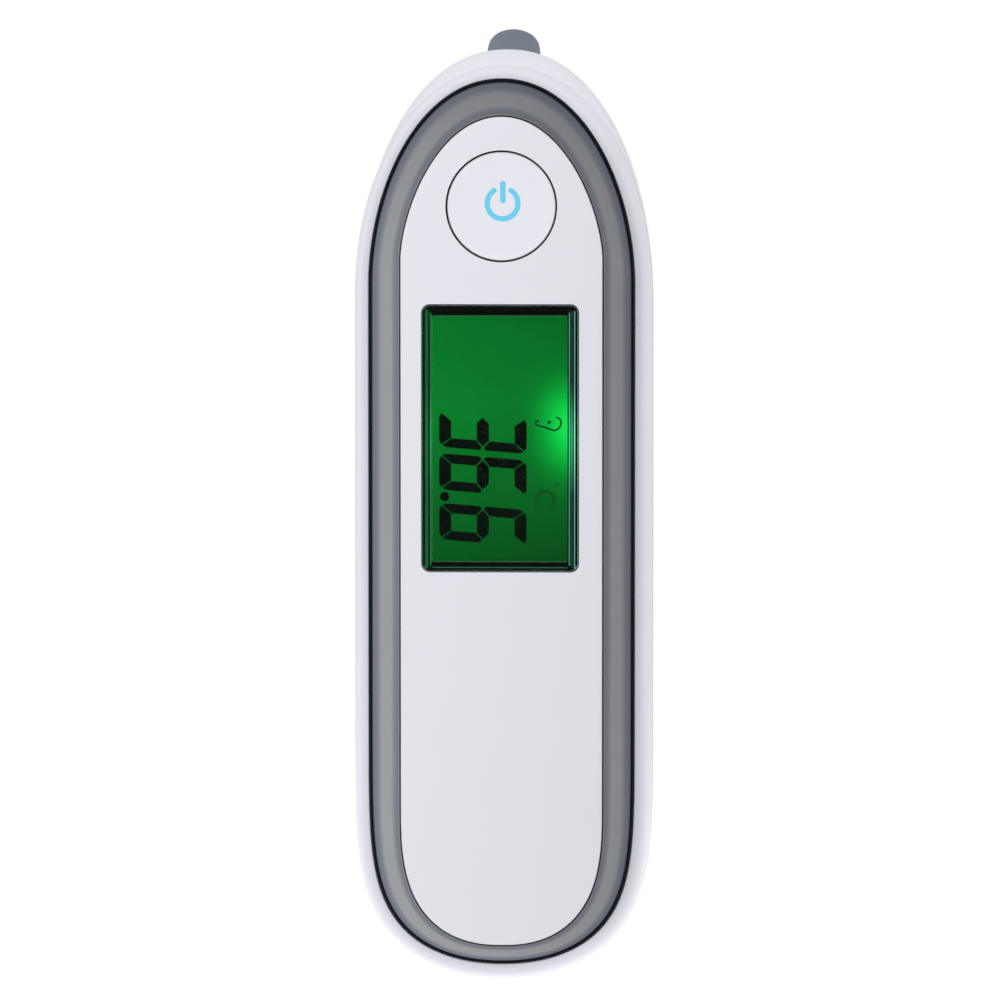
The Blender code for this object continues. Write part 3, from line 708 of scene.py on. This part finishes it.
# The section of the band, as (share of the way across from the inner edge, y) pairs.
RING_CROWN = ((0.0, -12.12), (0.012, -12.26), (0.04, -12.35), (0.09, -12.39), (0.16, -12.43), (0.25, -12.45))
RING_FLANK = ((0.36, -12.45), (0.48, -12.44), (0.6, -12.41), (0.7, -12.34), (0.79, -12.22), (0.87, -12.05))
RING_EDGE = ((0.93, -11.85), (0.97, -11.65), (0.99, -11.48), (1.0, -11.3))
RING_SECTION = ((0.0, RING_BACK), *RING_CROWN, *RING_FLANK, *RING_EDGE, (1.0, RING_BACK))


def ring_band():
    inner, outer = inset(PANEL, -0.2), inset(RING_OUTER, 0.1)
    rings = [(between(inner, outer, share), y) for share, y in RING_SECTION]
    band = stack("ring_band", rings, True, "across", [share for share, _ in RING_SECTION])
    smooth(band, 50)
    placed(band, "housing", "grey_ring", ring_look(), "trim_ring")


def gap_shade_liner(obj):
    """A dark liner at the bottom of a gap: painted shade where the gap lies in shadow."""
    smooth(obj)
    placed(obj, "housing", "black_rubber", painted_gap_shade_look)


def gap_shade_liners():
    # Painted shade: dark liners in the groove round the ring and in the gap between the ring and the panel.
    groove, inner = inset(RING_OUTER, -0.27), inset(RING_OUTER, 0.07)
    rings = [(inner, -10.64), (groove, -10.64), (groove, -11.35), (between(groove, inner, 0.5), -11.45)]
    gap_shade_liner(stack("ring_groove_shade", rings + [(inner, -11.3)], closed=True))
    panel_side, ring_side = inset(PANEL, -0.03), inset(PANEL, -0.17)
    rings = [(panel_side, -10.95), (ring_side, -10.95), (ring_side, -11.7), (panel_side, -11.7)]
    gap_shade_liner(stack("panel_gap_shade", rings, closed=True))


def panel_plate():
    edge, window_edge, hole_edge = 0.3, 0.15, 0.12
    outer = [(outline(inset(PANEL, edge - step)), y) for step, y in fillet(edge, PANEL_FACE)]
    outer += [(outline(PANEL), RING_BACK)]
    window = []
    for step, y in fillet(window_edge, PANEL_FACE):
        out = window_edge - step
        window.append((round_rect(grown(WINDOW, out), WINDOW_RADIUS + out), y))
    window += [(round_rect(WINDOW, WINDOW_RADIUS), RING_BACK)]
    hole = []
    for step, y in fillet(hole_edge, PANEL_FACE):
        hole.append((circle(0, BUTTON_Z, BUTTON_HOLE + hole_edge - step), y))
    hole += [(circle(0, BUTTON_Z, BUTTON_HOLE), RING_BACK)]
    panel = plate("panel_plate", outer, (window, hole))
    smooth(panel, 40)
    placed(panel, "housing", "white_panel", panel_look, "front_panel")
    # Painted shade: a dark liner in the gap round the button.
    far, near = BUTTON_HOLE - 0.02, BUTTON_HOLE - 0.07
    bore = [(-12.2, far), (-12.2, near), (-9.4, near), (-9.4, far)]
    gap_shade_liner(turned("button_gap_shade", bore, (0, 0, BUTTON_Z), (0, 1, 0)))


def fillet(radius, face, steps=5):
    """(how far out from the face's edge, y) pairs round a quarter circle."""
    return [(radius * math.sin(a), face + radius * (1 - math.cos(a))) for a in quarter(steps)]


# ---- window and display ----


def window_lens():
    play, front, edge = 0.12, -12.3, 0.25
    sides, radius = grown(WINDOW, -play), WINDOW_RADIUS - play
    walls = []
    for step, y in fillet(edge, front):
        walls.append((round_rect(grown(sides, step - edge), radius + step - edge), y))
    walls += [(round_rect(sides, radius), RING_BACK - 0.02)]
    lens = plate("window_pane", walls)
    smooth(lens, 40)
    look = Look("clear_window", (0.9, 1.0, 0.95), 0.0, Transmission_Weight=1.0, IOR=1.49)
    placed(lens, "housing", "clear_window", look, "window_lens")


def window_edges():
    """The dark bezel behind the pane, and the lines of light that run along the pane's cut edges, painted as
    thin strips that glow.
    """
    bezel_front, bezel_back = RING_BACK + 0.03, RING_BACK + 0.27
    outer = [(round_rect(grown(WINDOW, -0.1), WINDOW_RADIUS - 0.1), y) for y in (bezel_front, bezel_back)]
    hole = [(round_rect(VIEW, 0.25, 3), y) for y in (bezel_front, bezel_back)]
    bezel = plate("window_bezel", outer, (hole,))
    smooth(bezel)
    placed(bezel, "housing", "lcd", bezel_look)
    left, right, bottom, top = VIEW
    low, high = bottom - 0.5, top + 0.55
    strips = (
        ("edge_line_left", left - 0.26, left - 0.02, low, high, teal_line),
        ("edge_band_left", left - 1.0, left - 0.5, low - 0.4, high + 0.5, green_line),
        ("edge_line_right", right + 0.2, right + 0.36, low, high, pale_line),
        ("edge_band_right", right + 0.42, right + 0.85, low - 0.3, high + 0.3, teal_band),
        ("edge_glint_right", right + 1.0, right + 1.18, low - 0.4, high + 0.3, glint_line),
        ("edge_line_top", left, right, top + 0.02, top + 0.16, dim_line),
        ("edge_line_bottom", left, right, bottom - 0.9, bottom - 0.75, dim_line),
    )
    for name, x0, x1, z0, z1, look in strips:
        placed(box(name, x0, x1, bezel_front - 0.03, bezel_front, z0, z1), "housing", "lcd", look)


def display():
    cell = box("lcd_cell", -12.6, 12.6, LCD_FRONT, -6.4, -9.0, 33.6)
    smooth(cell)
    placed(cell, "housing", "lcd", lcd_look(), "lcd_glass")


DIGIT_WIDTH = 5.62
DIGIT_HEIGHT = 13.45
DIGIT_BOTTOM = -9.75
UPRIGHT = 1.46  # width of a digit's upright bars
LEVEL = 1.84  # and of its level ones
SLANT = 0.083  # how far the level bars lean for each step up the digit
INK = (LCD_FRONT - 0.05, LCD_FRONT - 0.01)


def segments():
    """The seven bars of a digit as corner points, in millimetres from its lower left corner."""
    w, h, mid = DIGIT_WIDTH, DIGIT_HEIGHT, DIGIT_HEIGHT / 2
    inner, thick = UPRIGHT, LEVEL
    low_right = [
        (w, 1.2),
        (w, mid - 0.5),
        (w - 0.38, mid - 0.12),
        (w - inner, mid - 1.08),
        (w - inner, thick + 0.1),
        (w - 0.32, 0.46),
        (w - 0.1, 0.78),
    ]
    half_bottom = [(w - 1.15, 0), (w - 0.72, 0.1), (w - 0.42, 0.34), (w - inner - 0.04, thick)]
    bottom = half_bottom + [(w - x, y) for x, y in reversed(half_bottom)]
    half_middle = [(w - inner - 0.05, mid - 0.93), (w - 0.58, mid), (w - inner - 0.05, mid + 0.93)]
    middle = half_middle + [(w - x, y) for x, y in reversed(half_middle)]
    low_left = [(w - x, y) for x, y in low_right]
    return {
        "a": [(x, h - y) for x, y in bottom],
        "b": [(x, h - y) for x, y in low_right],
        "c": low_right,
        "d": bottom,
        "e": low_left,
        "f": [(x, h - y) for x, y in low_left],
        "g": middle,
    }


def rounded(points, radius, steps):
    """The closed outline with each corner replaced by a short curve."""
    made = []
    count = len(points)
    for i in range(count):
        before, here, after = (Vector(points[(i + k) % count]) for k in (-1, 0, 1))
        back, on = before - here, after - here
        reach = min(radius, back.length * 0.45, on.length * 0.45)
        start, end = here + back.normalized() * reach, here + on.normalized() * reach
        for k in range(steps + 1):
            t = k / steps
            made.append(tuple(start * (1 - t) ** 2 + here * 2 * t * (1 - t) + end * t**2))
    return made


def flat_print(bm, loop, depths):
    """A thin printed shape from (x, z) points, between a front and a back."""
    faces = [[bm.verts.new((x, y, z)) for x, z in loop] for y in depths]
    bridge(bm, faces[0], faces[1])
    bm.faces.new(faces[0])
    bm.faces.new(faces[1])


def to_screen(z_left):
    """Turns digit points a quarter turn clockwise, tops towards +X, with the slant of the bars."""

    def turn(point):
        u, v = point
        return DIGIT_BOTTOM + v, z_left - u - v * SLANT

    return turn


# Each digit's name, the Z of its left side and its lit bars.
DIGITS = (("digit_tens", 16.9, "abcdg"), ("digit_units", 10.3, "acdefg"), ("digit_tenths", 2.65, "acdefg"))


def digits():
    bars = segments()
    for name, z_left, used in DIGITS:
        bm = bmesh.new()
        turn = to_screen(z_left)
        for key in used:
            flat_print(bm, [turn(p) for p in rounded(bars[key], 0.1, 2)], INK)
        shown(name, bm, lcd_ink)
    bm = bmesh.new()
    flat_print(bm, circle(-8.9, 3.6, 0.74, 24), INK)
    shown("decimal_point", bm, lcd_ink)


def shown(name, bm, look):
    """Places a printed shape on the display."""
    placed(object_of(name, bm), "housing", "lcd", look)


def arc_band(bm, centre, radius, width, start, end, depths, steps, caps=True):
    """A flat arc with round ends, in the XZ plane; angles in degrees from +X towards +Z."""

    def cap(angle, turn):
        tip = arc_profile(centre, radius, angle, angle, 1)[0]
        return arc_profile(tip, width / 2, angle + turn, angle + turn + 180, 8)[1:-1]

    outer = arc_profile(centre, radius + width / 2, start, end, steps)
    inner = arc_profile(centre, radius - width / 2, end, start, steps)
    if caps:
        outer += cap(end, 0)
        inner += cap(start, 180)
    flat_print(bm, outer + inner, depths)


# The line of the ear symbol, from its tip round to the lobe.
EAR_LEFT = ((5.7, 15.3), (5.2, 15.2), (5.2, 14.65), (6.6, 14.25))
EAR_RIGHT = ((7.85, 13.82), (8.55, 14.05), (8.96, 14.7), (8.9, 15.4), (8.3, 15.85))


def lcd_symbols():
    bm = bmesh.new()
    arc_band(bm, (8.33, 5.38), 0.34, 0.2, 0, 359, INK, 24, caps=False)
    arc_band(bm, (6.56, 3.0), 1.4, 0.64, -52, 232, INK, 30)
    shown("degree_mark", bm, faint_ink)
    bm = bmesh.new()
    stroke(bm, [tuple(p) for p in smooth_path(EAR_LEFT + EAR_RIGHT, 6)], 0.27, INK)
    flat_print(bm, circle(7.18, 15.05, 0.27, 16), INK)
    shown("ear_mark", bm, symbol_ink)


def stroke(bm, path, width, depths):
    """A flat line of even width along (x, z) points."""
    left, right = [], []
    for i, point in enumerate(path):
        a, b = Vector(path[max(i - 1, 0)]), Vector(path[min(i + 1, len(path) - 1)])
        side = (b - a).normalized().orthogonal() * width / 2
        left.append(tuple(Vector(point) + side))
        right.append(tuple(Vector(point) - side))
    flat_print(bm, left + right[::-1], depths)


# ---- button ----


def button():
    r, face, dish, edge = BUTTON_RADIUS, BUTTON_FACE, 0.02, 0.45
    skirt, stem, inside = 6.9, 1.8, -11.15
    profile = [(face + dish, 0.0)]
    profile += [(face + dish - dish * (k / 6) ** 2, 7.6 * k / 6) for k in range(1, 7)]
    for angle in quarter(6)[1:]:
        profile.append((face + edge - edge * math.cos(angle), r - edge + edge * math.sin(angle)))
    profile += [(-8.9, r), (-8.9, FLANGE_RADIUS), (FLANGE_BACK, FLANGE_RADIUS), (FLANGE_BACK, skirt)]
    profile += [(inside, skirt), (inside, stem), (STEM_END, stem), (STEM_END, 0.0)]
    cap = turned("button_cap", profile, (0, 0, BUTTON_Z), (0, 1, 0))
    smooth(cap)
    placed(cap, "power_button", "white_panel", button_look, "power_button")
    depths = (face - 0.012, face + 0.03)  # the print stands just proud of the face
    bm = bmesh.new()
    arc_band(bm, (0.2, BUTTON_Z + 0.44), 2.35, 0.78, 123, 417, depths, 64)
    bar = rounded([(-0.16, 48.7), (0.64, 48.7), (0.64, 52.05), (-0.16, 52.05)], 0.38, 6)
    flat_print(bm, bar, depths)
    placed(object_of("power_mark", bm), "power_button", "white_panel", print_look)


# ---- back of the casing ----

SIDE_STEPS = 8
ARCH_STEPS = 72


def back_stations(step_in):
    """Stations up the back: the parting line's point, the widest point, its y and the back's depth."""
    rim, head = inset(RIM, step_in), inset(HEAD, step_in)
    stations = []
    for angle in quarter():
        point = bottom_point(rim, angle)
        depth = HANDLE_BACK - step_in - BACK_START
        back = BACK_START + depth * math.sin(angle) ** BACK_BOTTOM_POWER
        stations.append((point, point, BACK_START, back))
    low, high = rim.bottom + rim.bottom_length, rim.top - rim.top_length
    for k in range(1, 8):
        point = (rim.half_width, low + (NECK_END - low) * k / 8)
        back = HANDLE_BACK + 0.1 * k / 8 - step_in
        stations.append((point, point, BACK_START, back))
    head_steps, all_steps = HEAD_BACK_STEPS, len(BACKS) - 1
    for k in range(16):
        share = k / 16
        point = (rim.half_width, NECK_END + (high - NECK_END) * share)
        back = spline_at(BACKS, all_steps - (all_steps - head_steps) * share) - step_in
        stations.append((point, point, BACK_START, back))
    for angle in reversed(quarter()):
        share = angle / (math.pi / 2)
        back = spline_at(BACKS, head_steps * share) - step_in * min(1.0, 3 * share)
        widest = BACK_START + (HEAD_START - BACK_START) * math.cos(angle) ** 2
        stations.append((top_point(rim, angle), top_point(head, angle), widest, max(back, widest)))
    return stations


def back_row(station):
    (edge_x, edge_z), (wide_x, wide_z), widest, back = station
    side = []
    for k in range(SIDE_STEPS):
        share = k / SIDE_STEPS
        out = 1 - (1 - share) ** 2
        x = edge_x + (wide_x - edge_x) * out
        z = edge_z + (wide_z - edge_z) * out
        side.append(Vector((x, PARTING_REAR + (widest - PARTING_REAR) * share, z)))
    row = list(side)
    for k in range(ARCH_STEPS + 1):
        angle = math.pi * k / ARCH_STEPS
        cos = math.cos(angle)
        x = wide_x * math.copysign(abs(cos) ** (2 / SECTION_POWER), cos)
        y = widest + (back - widest) * math.sin(angle) ** (2 / SECTION_POWER)
        row.append(Vector((x, y, wide_z)))
    return row + [Vector((-p.x, p.y, p.z)) for p in reversed(side)]


def skin(bm, rows):
    loops = [[bm.verts.new(p) for p in row] for row in rows]
    for lower, upper in zip(loops, loops[1:]):
        for i in range(len(lower) - 1):
            bm.faces.new((lower[i], lower[i + 1], upper[i + 1], upper[i]))
    return loops


def welded(name, bm):
    """The object once the points that meet at the two ends of the back are one."""
    bmesh.ops.remove_doubles(bm, verts=bm.verts, dist=1e-3)
    bmesh.ops.dissolve_degenerate(bm, edges=bm.edges, dist=1e-3)
    return object_of(name, bm)


def back_shell(name):
    bm = bmesh.new()
    outer = skin(bm, [back_row(s) for s in back_stations(0.0)])
    inner = skin(bm, [back_row(s) for s in back_stations(WALL)])
    for a0, a1, b0, b1 in zip(outer, outer[1:], inner, inner[1:]):
        bm.faces.new((a0[0], a1[0], b1[0], b0[0]))
        bm.faces.new((a0[-1], b0[-1], b1[-1], a1[-1]))
    return welded(name, bm)


def back_solid():
    bm = bmesh.new()
    loops = skin(bm, [back_row(s) for s in back_stations(0.0)])
    bm.faces.new([row[0] for row in loops] + [row[-1] for row in reversed(loops[1:-1])])
    return welded("back_solid", bm)


def probe_point(distance):
    return PROBE_TIP - PROBE_AXIS * distance


def rear_shell():
    shell = back_shell("rear_shell")
    solid = back_solid()
    wells = []
    for i, (x, z) in enumerate(CASE_SCREWS):
        wells.append(rod(f"well_{i}", (x, 4.3, z), (x, 20, z), WELL_RADIUS, 40))
        combine(wells[i], "INTERSECT", solid, keep=True)
    bpy.data.objects.remove(solid, do_unlink=True)
    neck = cone("neck", probe_point(NECK_ROOT), probe_point(NECK_TOP), NECK_ROOT_RADIUS, NECK_TOP_RADIUS, 96)
    combine(shell, "UNION", neck, *wells)
    inside, outside = probe_point(NECK_ROOT + 1), probe_point(NECK_TOP - 4)
    cutters = [
        cone("neck_inside", inside, probe_point(16.5), NECK_ROOT_RADIUS - WALL, NECK_BORE),
        rod("neck_bore", inside, outside, NECK_BORE),
        rod("seal_seat", probe_point(15.3), outside, SEAL_SEAT_RADIUS),
    ]
    for i, (x, z) in enumerate(CASE_SCREWS):
        cutters.append(rod(f"well_bore_{i}", (x, 5.6, z), (x, 22, z), WELL_BORE_RADIUS, 40))
        cutters.append(rod(f"screw_hole_{i}", (x, 2, z), (x, 8, z), CASE_BORE_RADIUS, 24))
    side = DOOR_HALF_WIDTH + DOOR_GAP
    cutters.append(box("door_cut", -side, side, DOOR_FRONT - DOOR_GAP, BEHIND, BELOW, DOOR_TOP + DOOR_GAP))
    side = TONGUE[1] + RAIL_SIDE_PLAY
    front, back = TONGUE[2] - RAIL_FACE_PLAY, TONGUE[3] + RAIL_FACE_PLAY
    cutters.append(box("rail_cut", -side, side, front, back, BELOW, TONGUE[5] + 2))
    combine(shell, "DIFFERENCE", *cutters)
    smooth(shell)
    placed(shell, "housing", "white_shell", shell_look, "rear_housing")


def door_shell():
    door = back_shell("door_shell")
    keep = box("door_keep", -DOOR_HALF_WIDTH, DOOR_HALF_WIDTH, DOOR_FRONT, BEHIND, BELOW, DOOR_TOP)
    combine(door, "INTERSECT", keep)
    near, far, *rail = TONGUE
    parts = []
    for side, label in ((-1, "left"), (1, "right")):
        web = sorted((side * near, side * (near + 1)))
        tongue = sorted((side * near, side * far))
        parts.append(box(f"{label}_web", *web, rail[0] + 0.1, 10.6, *rail[2:]))
        parts.append(box(f"{label}_tongue", *tongue, *rail))
    latch, rib = 3.2, 6.0  # half widths
    parts.append(box("latch_tab", -latch, latch, 9.75, 10.35, DOOR_TOP - 4, DOOR_TOP + 2.6))
    parts.append(box("latch_root", -latch, latch, 9.75, 11.4, DOOR_TOP - 4, DOOR_TOP - 1.5))
    for k in range(5):
        z = -14.0 - 2.2 * k
        parts.append(box(f"grip_rib_{k}", -rib, rib, 11.8, 13.0, z - 0.45, z + 0.45))
    combine(door, "UNION", *parts)
    smooth(door)
    placed(door, "battery_door", "white_shell", shell_look, "battery_door")


# ---- probe ----


# The probe's tip, its flared flank, and its spigot and bore, as (distance from the tip, radius) pairs.
PROBE_LIP = ((0.0, 3.0), (0.0, 3.5), (0.06, 3.72), (0.22, 3.92), (0.5, 4.05), (0.9, 4.13))
PROBE_FLANK = ((0.9, 4.13), (2.5, 4.3), (4.5, 4.56), (6.5, 4.92), (8.2, 5.4), (9.6, 6.0))
PROBE_FLARE = ((10.7, 6.75), (11.6, 7.6), (12.2, 8.15), (12.6, 8.35))
PROBE_INSIDE = ((13.3, 8.4), (13.3, 6.3), (17.5, 6.3), (17.5, 5.3), (12.4, 5.3), (10.8, 3.6), (9.0, 3.0))


def probe_cap():
    flank = [tuple(p) for p in smooth_path(PROBE_FLANK + PROBE_FLARE, 3)[1:]]
    cap = turned("probe_cap", [*PROBE_LIP, *flank, *PROBE_INSIDE], PROBE_TIP, -PROBE_AXIS)
    smooth(cap, 40)
    look = moulded("probe_grey", srgb(104, 114, 126), 0.4, 2600.0, 0.006, 0.04)
    placed(cap, "housing", "probe_grey", look, "ear_probe")


# ---- inner parts ----


def metal(name, colour, roughness):
    """Bare metal, a little uneven in tone and gloss."""
    look = Look(name, colour, roughness, 1.0)
    dark = tuple(c * 0.82 for c in colour)
    look.colour(look.ramp(look.noise(500.0, 4.0), ((0.3, dark), (0.7, colour))))
    look.roughness(look.spread(look.noise(1800.0, 3.0), 0.3, 0.7, roughness - 0.08, roughness + 0.1))
    look.bump(look.noise(2500.0), 0.003)
    return look


def board_look():
    """Solder mask with a faint net of tracks under it."""
    look = Look("board_mask", (0.01, 0.12, 0.05), 0.35)
    tracks = look.add("ShaderNodeTexBrick", Scale=300.0, Mortar_Size=0.06)
    tracks.inputs["Color1"].default_value = (0.008, 0.11, 0.045, 1.0)
    tracks.inputs["Color2"].default_value = (0.012, 0.14, 0.055, 1.0)
    tracks.inputs["Mortar"].default_value = (0.03, 0.26, 0.11, 1.0)
    turn = look.add("ShaderNodeMapping", Rotation=(math.pi / 2, 0, 0))
    look.link(look.place, turn.inputs["Vector"])
    look.link(turn.outputs[0], tracks.inputs["Vector"])
    look.colour(tracks.outputs["Color"])
    look.bump(look.noise(1500.0), 0.006)
    return look


def cell_look():
    """A printed sleeve: plain blue with a gold band, and bare metal at both ends."""
    look = Look("cell_sleeve", (0.05, 0.12, 0.4), 0.3, 0.55)
    height = look.spread(look.axis("Z"), -0.0590, -0.0095, 0.0, 1.0)
    steel, blue, gold = (0.55, 0.55, 0.56), (0.03, 0.09, 0.32), (0.75, 0.5, 0.14)
    bands = [(0.05, steel)]
    for start, end, colour in ((0.051, 0.66, blue), (0.661, 0.7, gold), (0.701, 0.93, blue)):
        bands += [(start, colour), (end, colour)]
    bands.append((0.931, steel))
    wear = look.ramp(look.noise(300.0), ((0.3, grey(0.5)), (0.7, grey(1.0))))
    look.colour(look.mix(0.15, look.ramp(height, bands), wear, "MULTIPLY"))
    look.bump(look.noise(700.0), 0.01)
    return look


def cells():
    """The two AAA cells, head to tail, each with a nub at its plus end and rolled edges on the sleeve."""
    radius, length, nub, side, depth = 5.25, 44.5, 1.9, 5.45, 4.55
    profile = [(0.0, 0.0), (0.0, nub - 0.4), (0.3, nub), (1.0, nub), (1.0, 4.3), (1.5, radius - 0.15)]
    profile += [(2.0, radius), (length - 0.5, radius), (length - 0.2, radius - 0.3)]
    profile += [(length, radius - 0.9), (length, 0.0)]
    look = cell_look()
    for number, x, plus_end, towards in ((1, -side, -10.5, -1), (2, side, -58.4, 1)):
        cell = turned(f"cell_{number}", profile, (x, depth, plus_end), (0, 0, towards))
        smooth(cell)
        placed(cell, "housing", "cell_wrap", look, f"battery_{number}")


def dress_nodes():
    """Gives each CAD node that shows as it is a look of its own material."""
    steel = metal("steel", (0.6, 0.6, 0.61), 0.28)
    dressed = (
        (
            moulded("inner_plastic", srgb(214, 214, 218), 0.45, 1800.0, 0.006, 0.04),
            ("battery_tray", "sensor_holder", "switch_plunger", "cable_connector"),
        ),
        (
            moulded("black_rubber", (0.02, 0.02, 0.022), 0.75, 1500.0, 0.012, 0.25),
            ("lcd_gasket", "zebra_strip", "probe_seal"),
        ),
        (
            moulded("chip_black", (0.018, 0.018, 0.02), 0.5, 3500.0, 0.006, 0.2),
            ("mcu_chip", "tact_switch", "filter_capacitor", "buzzer"),
        ),
        (
            moulded("diffuser", (0.72, 0.86, 0.78), 0.5, 1500.0, 0.003, 0.05),
            ("light_guide", "backlight_led"),
        ),
        (
            moulded("wire_red", (0.5, 0.03, 0.025), 0.45, 1200.0, 0.008, 0.15),
            ("sensor_cable", "battery_lead_plus", "battery_lead_minus"),
        ),
        (steel, ("crystal", "thermopile_sensor", "contact_bridge")),
        (steel, ("contact_plate_plus", "contact_plate_minus", "contact_spring_1", "contact_spring_2")),
        (steel, ("case_screw_1", "case_screw_2", *(f"pcb_screw_{k}" for k in range(1, 5)))),
        (metal("gold_plate", (0.83, 0.62, 0.25), 0.22), ("waveguide",)),
        (metal("sensor_window", (0.28, 0.3, 0.34), 0.12), ("probe_window",)),
        (board_look(), ("main_pcb",)),
    )
    for look, names in dressed:
        for name in names:
            for slot in bpy.data.objects[name].material_slots:
                slot.material = look.material


# ---- studio ----


FLOOR_DROP = 61.0  # the floor is low enough for the battery door to slide off above it
FLOOR_RADIUS = 1000.0  # no further, so that the pane mirrors the dim patch of the world and not the floor


def floor():
    bm = bmesh.new()
    bmesh.ops.create_circle(bm, cap_ends=True, segments=96, radius=FLOOR_RADIUS)
    bm.transform(Matrix.Translation((0.0, 0.0, RIM.bottom - FLOOR_DROP)))
    made = object_of("floor", bm)
    look = Look("pale_floor", grey(0.6), 0.7, Specular_IOR_Level=0.0)
    look.colour(look.ramp(look.noise(30.0), ((0.3, grey(0.6)), (0.7, grey(0.62)))))
    look.shader.inputs["Emission Color"].default_value = (1.0, 1.0, 1.0, 1.0)
    look.shader.inputs["Emission Strength"].default_value = 0.52
    made.data.materials.append(look.material)


def world():
    """A white cyclorama, dimmer straight ahead of the object's face, behind it and low down."""
    made = bpy.data.worlds.new("studio")
    bpy.context.scene.world = made
    made.use_nodes = True
    tree = made.node_tree
    background = tree.nodes["Background"]
    place = tree.nodes.new("ShaderNodeTexCoord")
    split = tree.nodes.new("ShaderNodeSeparateXYZ")
    tree.links.new(place.outputs["Generated"], split.inputs[0])

    def ranged(axis, low, high, at_low, at_high, smoothstep=False):
        node = tree.nodes.new("ShaderNodeMapRange")
        if smoothstep:
            node.interpolation_type = "SMOOTHSTEP"
        for place_in, value in enumerate((low, high, at_low, at_high), 1):
            node.inputs[place_in].default_value = value
        tree.links.new(split.outputs[axis], node.inputs[0])
        return node.outputs[0]

    def times(first, second):
        node = tree.nodes.new("ShaderNodeMath")
        node.operation = "MULTIPLY"
        tree.links.new(first, node.inputs[0])
        tree.links.new(second, node.inputs[1])
        return node.outputs[0]

    dim = ranged("Y", -0.975, -0.88, 0.03, 1.0, smoothstep=True)
    beside = ranged("Y", -0.9, 0.1, 0.79, 1.22)
    behind = ranged("Y", 0.15, 0.8, 1.0, 0.5)
    rise = ranged("Z", -1.0, 1.0, 0.64, 1.04)
    left = ranged("X", -1.0, 1.0, 1.03, 0.97)
    product = times(times(dim, times(beside, behind)), times(rise, left))
    path = tree.nodes.new("ShaderNodeLightPath")
    choose = tree.nodes.new("ShaderNodeMix")
    choose.inputs[3].default_value = 1.0
    tree.links.new(path.outputs["Is Camera Ray"], choose.inputs[0])
    tree.links.new(product, choose.inputs[2])
    tree.links.new(choose.outputs[0], background.inputs["Strength"])
    background.inputs["Color"].default_value = (1.0, 1.0, 1.0, 1.0)


def aimed(name, data, aim, azimuth, elevation, distance):
    """A light or camera that looks at a point, from angles in degrees and a distance in metres."""
    obj = bpy.data.objects.new(name, data)
    a, e = math.radians(azimuth), math.radians(elevation)
    back = Vector((math.sin(a) * math.cos(e), -math.cos(a) * math.cos(e), math.sin(e)))
    obj.location = aim + back * distance
    obj.rotation_mode = "QUATERNION"
    obj.rotation_quaternion = (-back).to_track_quat("-Z", "Y")
    bpy.context.scene.collection.objects.link(obj)
    return obj


def softbox(name, azimuth, elevation, distance, size, power):
    light = bpy.data.lights.new(name, "AREA")
    light.shape = "DISK"
    light.size = size
    light.energy = power
    aimed(name, light, Vector(), azimuth, elevation, distance)


def camera():
    data = bpy.data.cameras.new("camera")
    data.lens, data.sensor_width = 235.2, 36.0
    data.clip_start, data.clip_end = 0.01, 60.0
    aim = Vector((-0.19, -12.5, 3.3)) * MM
    bpy.context.scene.camera = aimed("camera", data, aim, 2.8, 3.0, 1.0)


camera()
world()
floor()
softbox("key", -38, 40, 1.0, 0.6, 0.42)
softbox("top", -8, 55, 0.45, 0.2, 0.035)
softbox("fill", 48, 20, 1.8, 1.0, 0.5)
bpy.context.scene.view_settings.view_transform = "Standard"

front_shell()
rear_shell()
door_shell()
ring_band()
gap_shade_liners()
panel_plate()
window_lens()
window_edges()
display()
digits()
lcd_symbols()
button()
probe_cap()
cells()
dress_nodes()
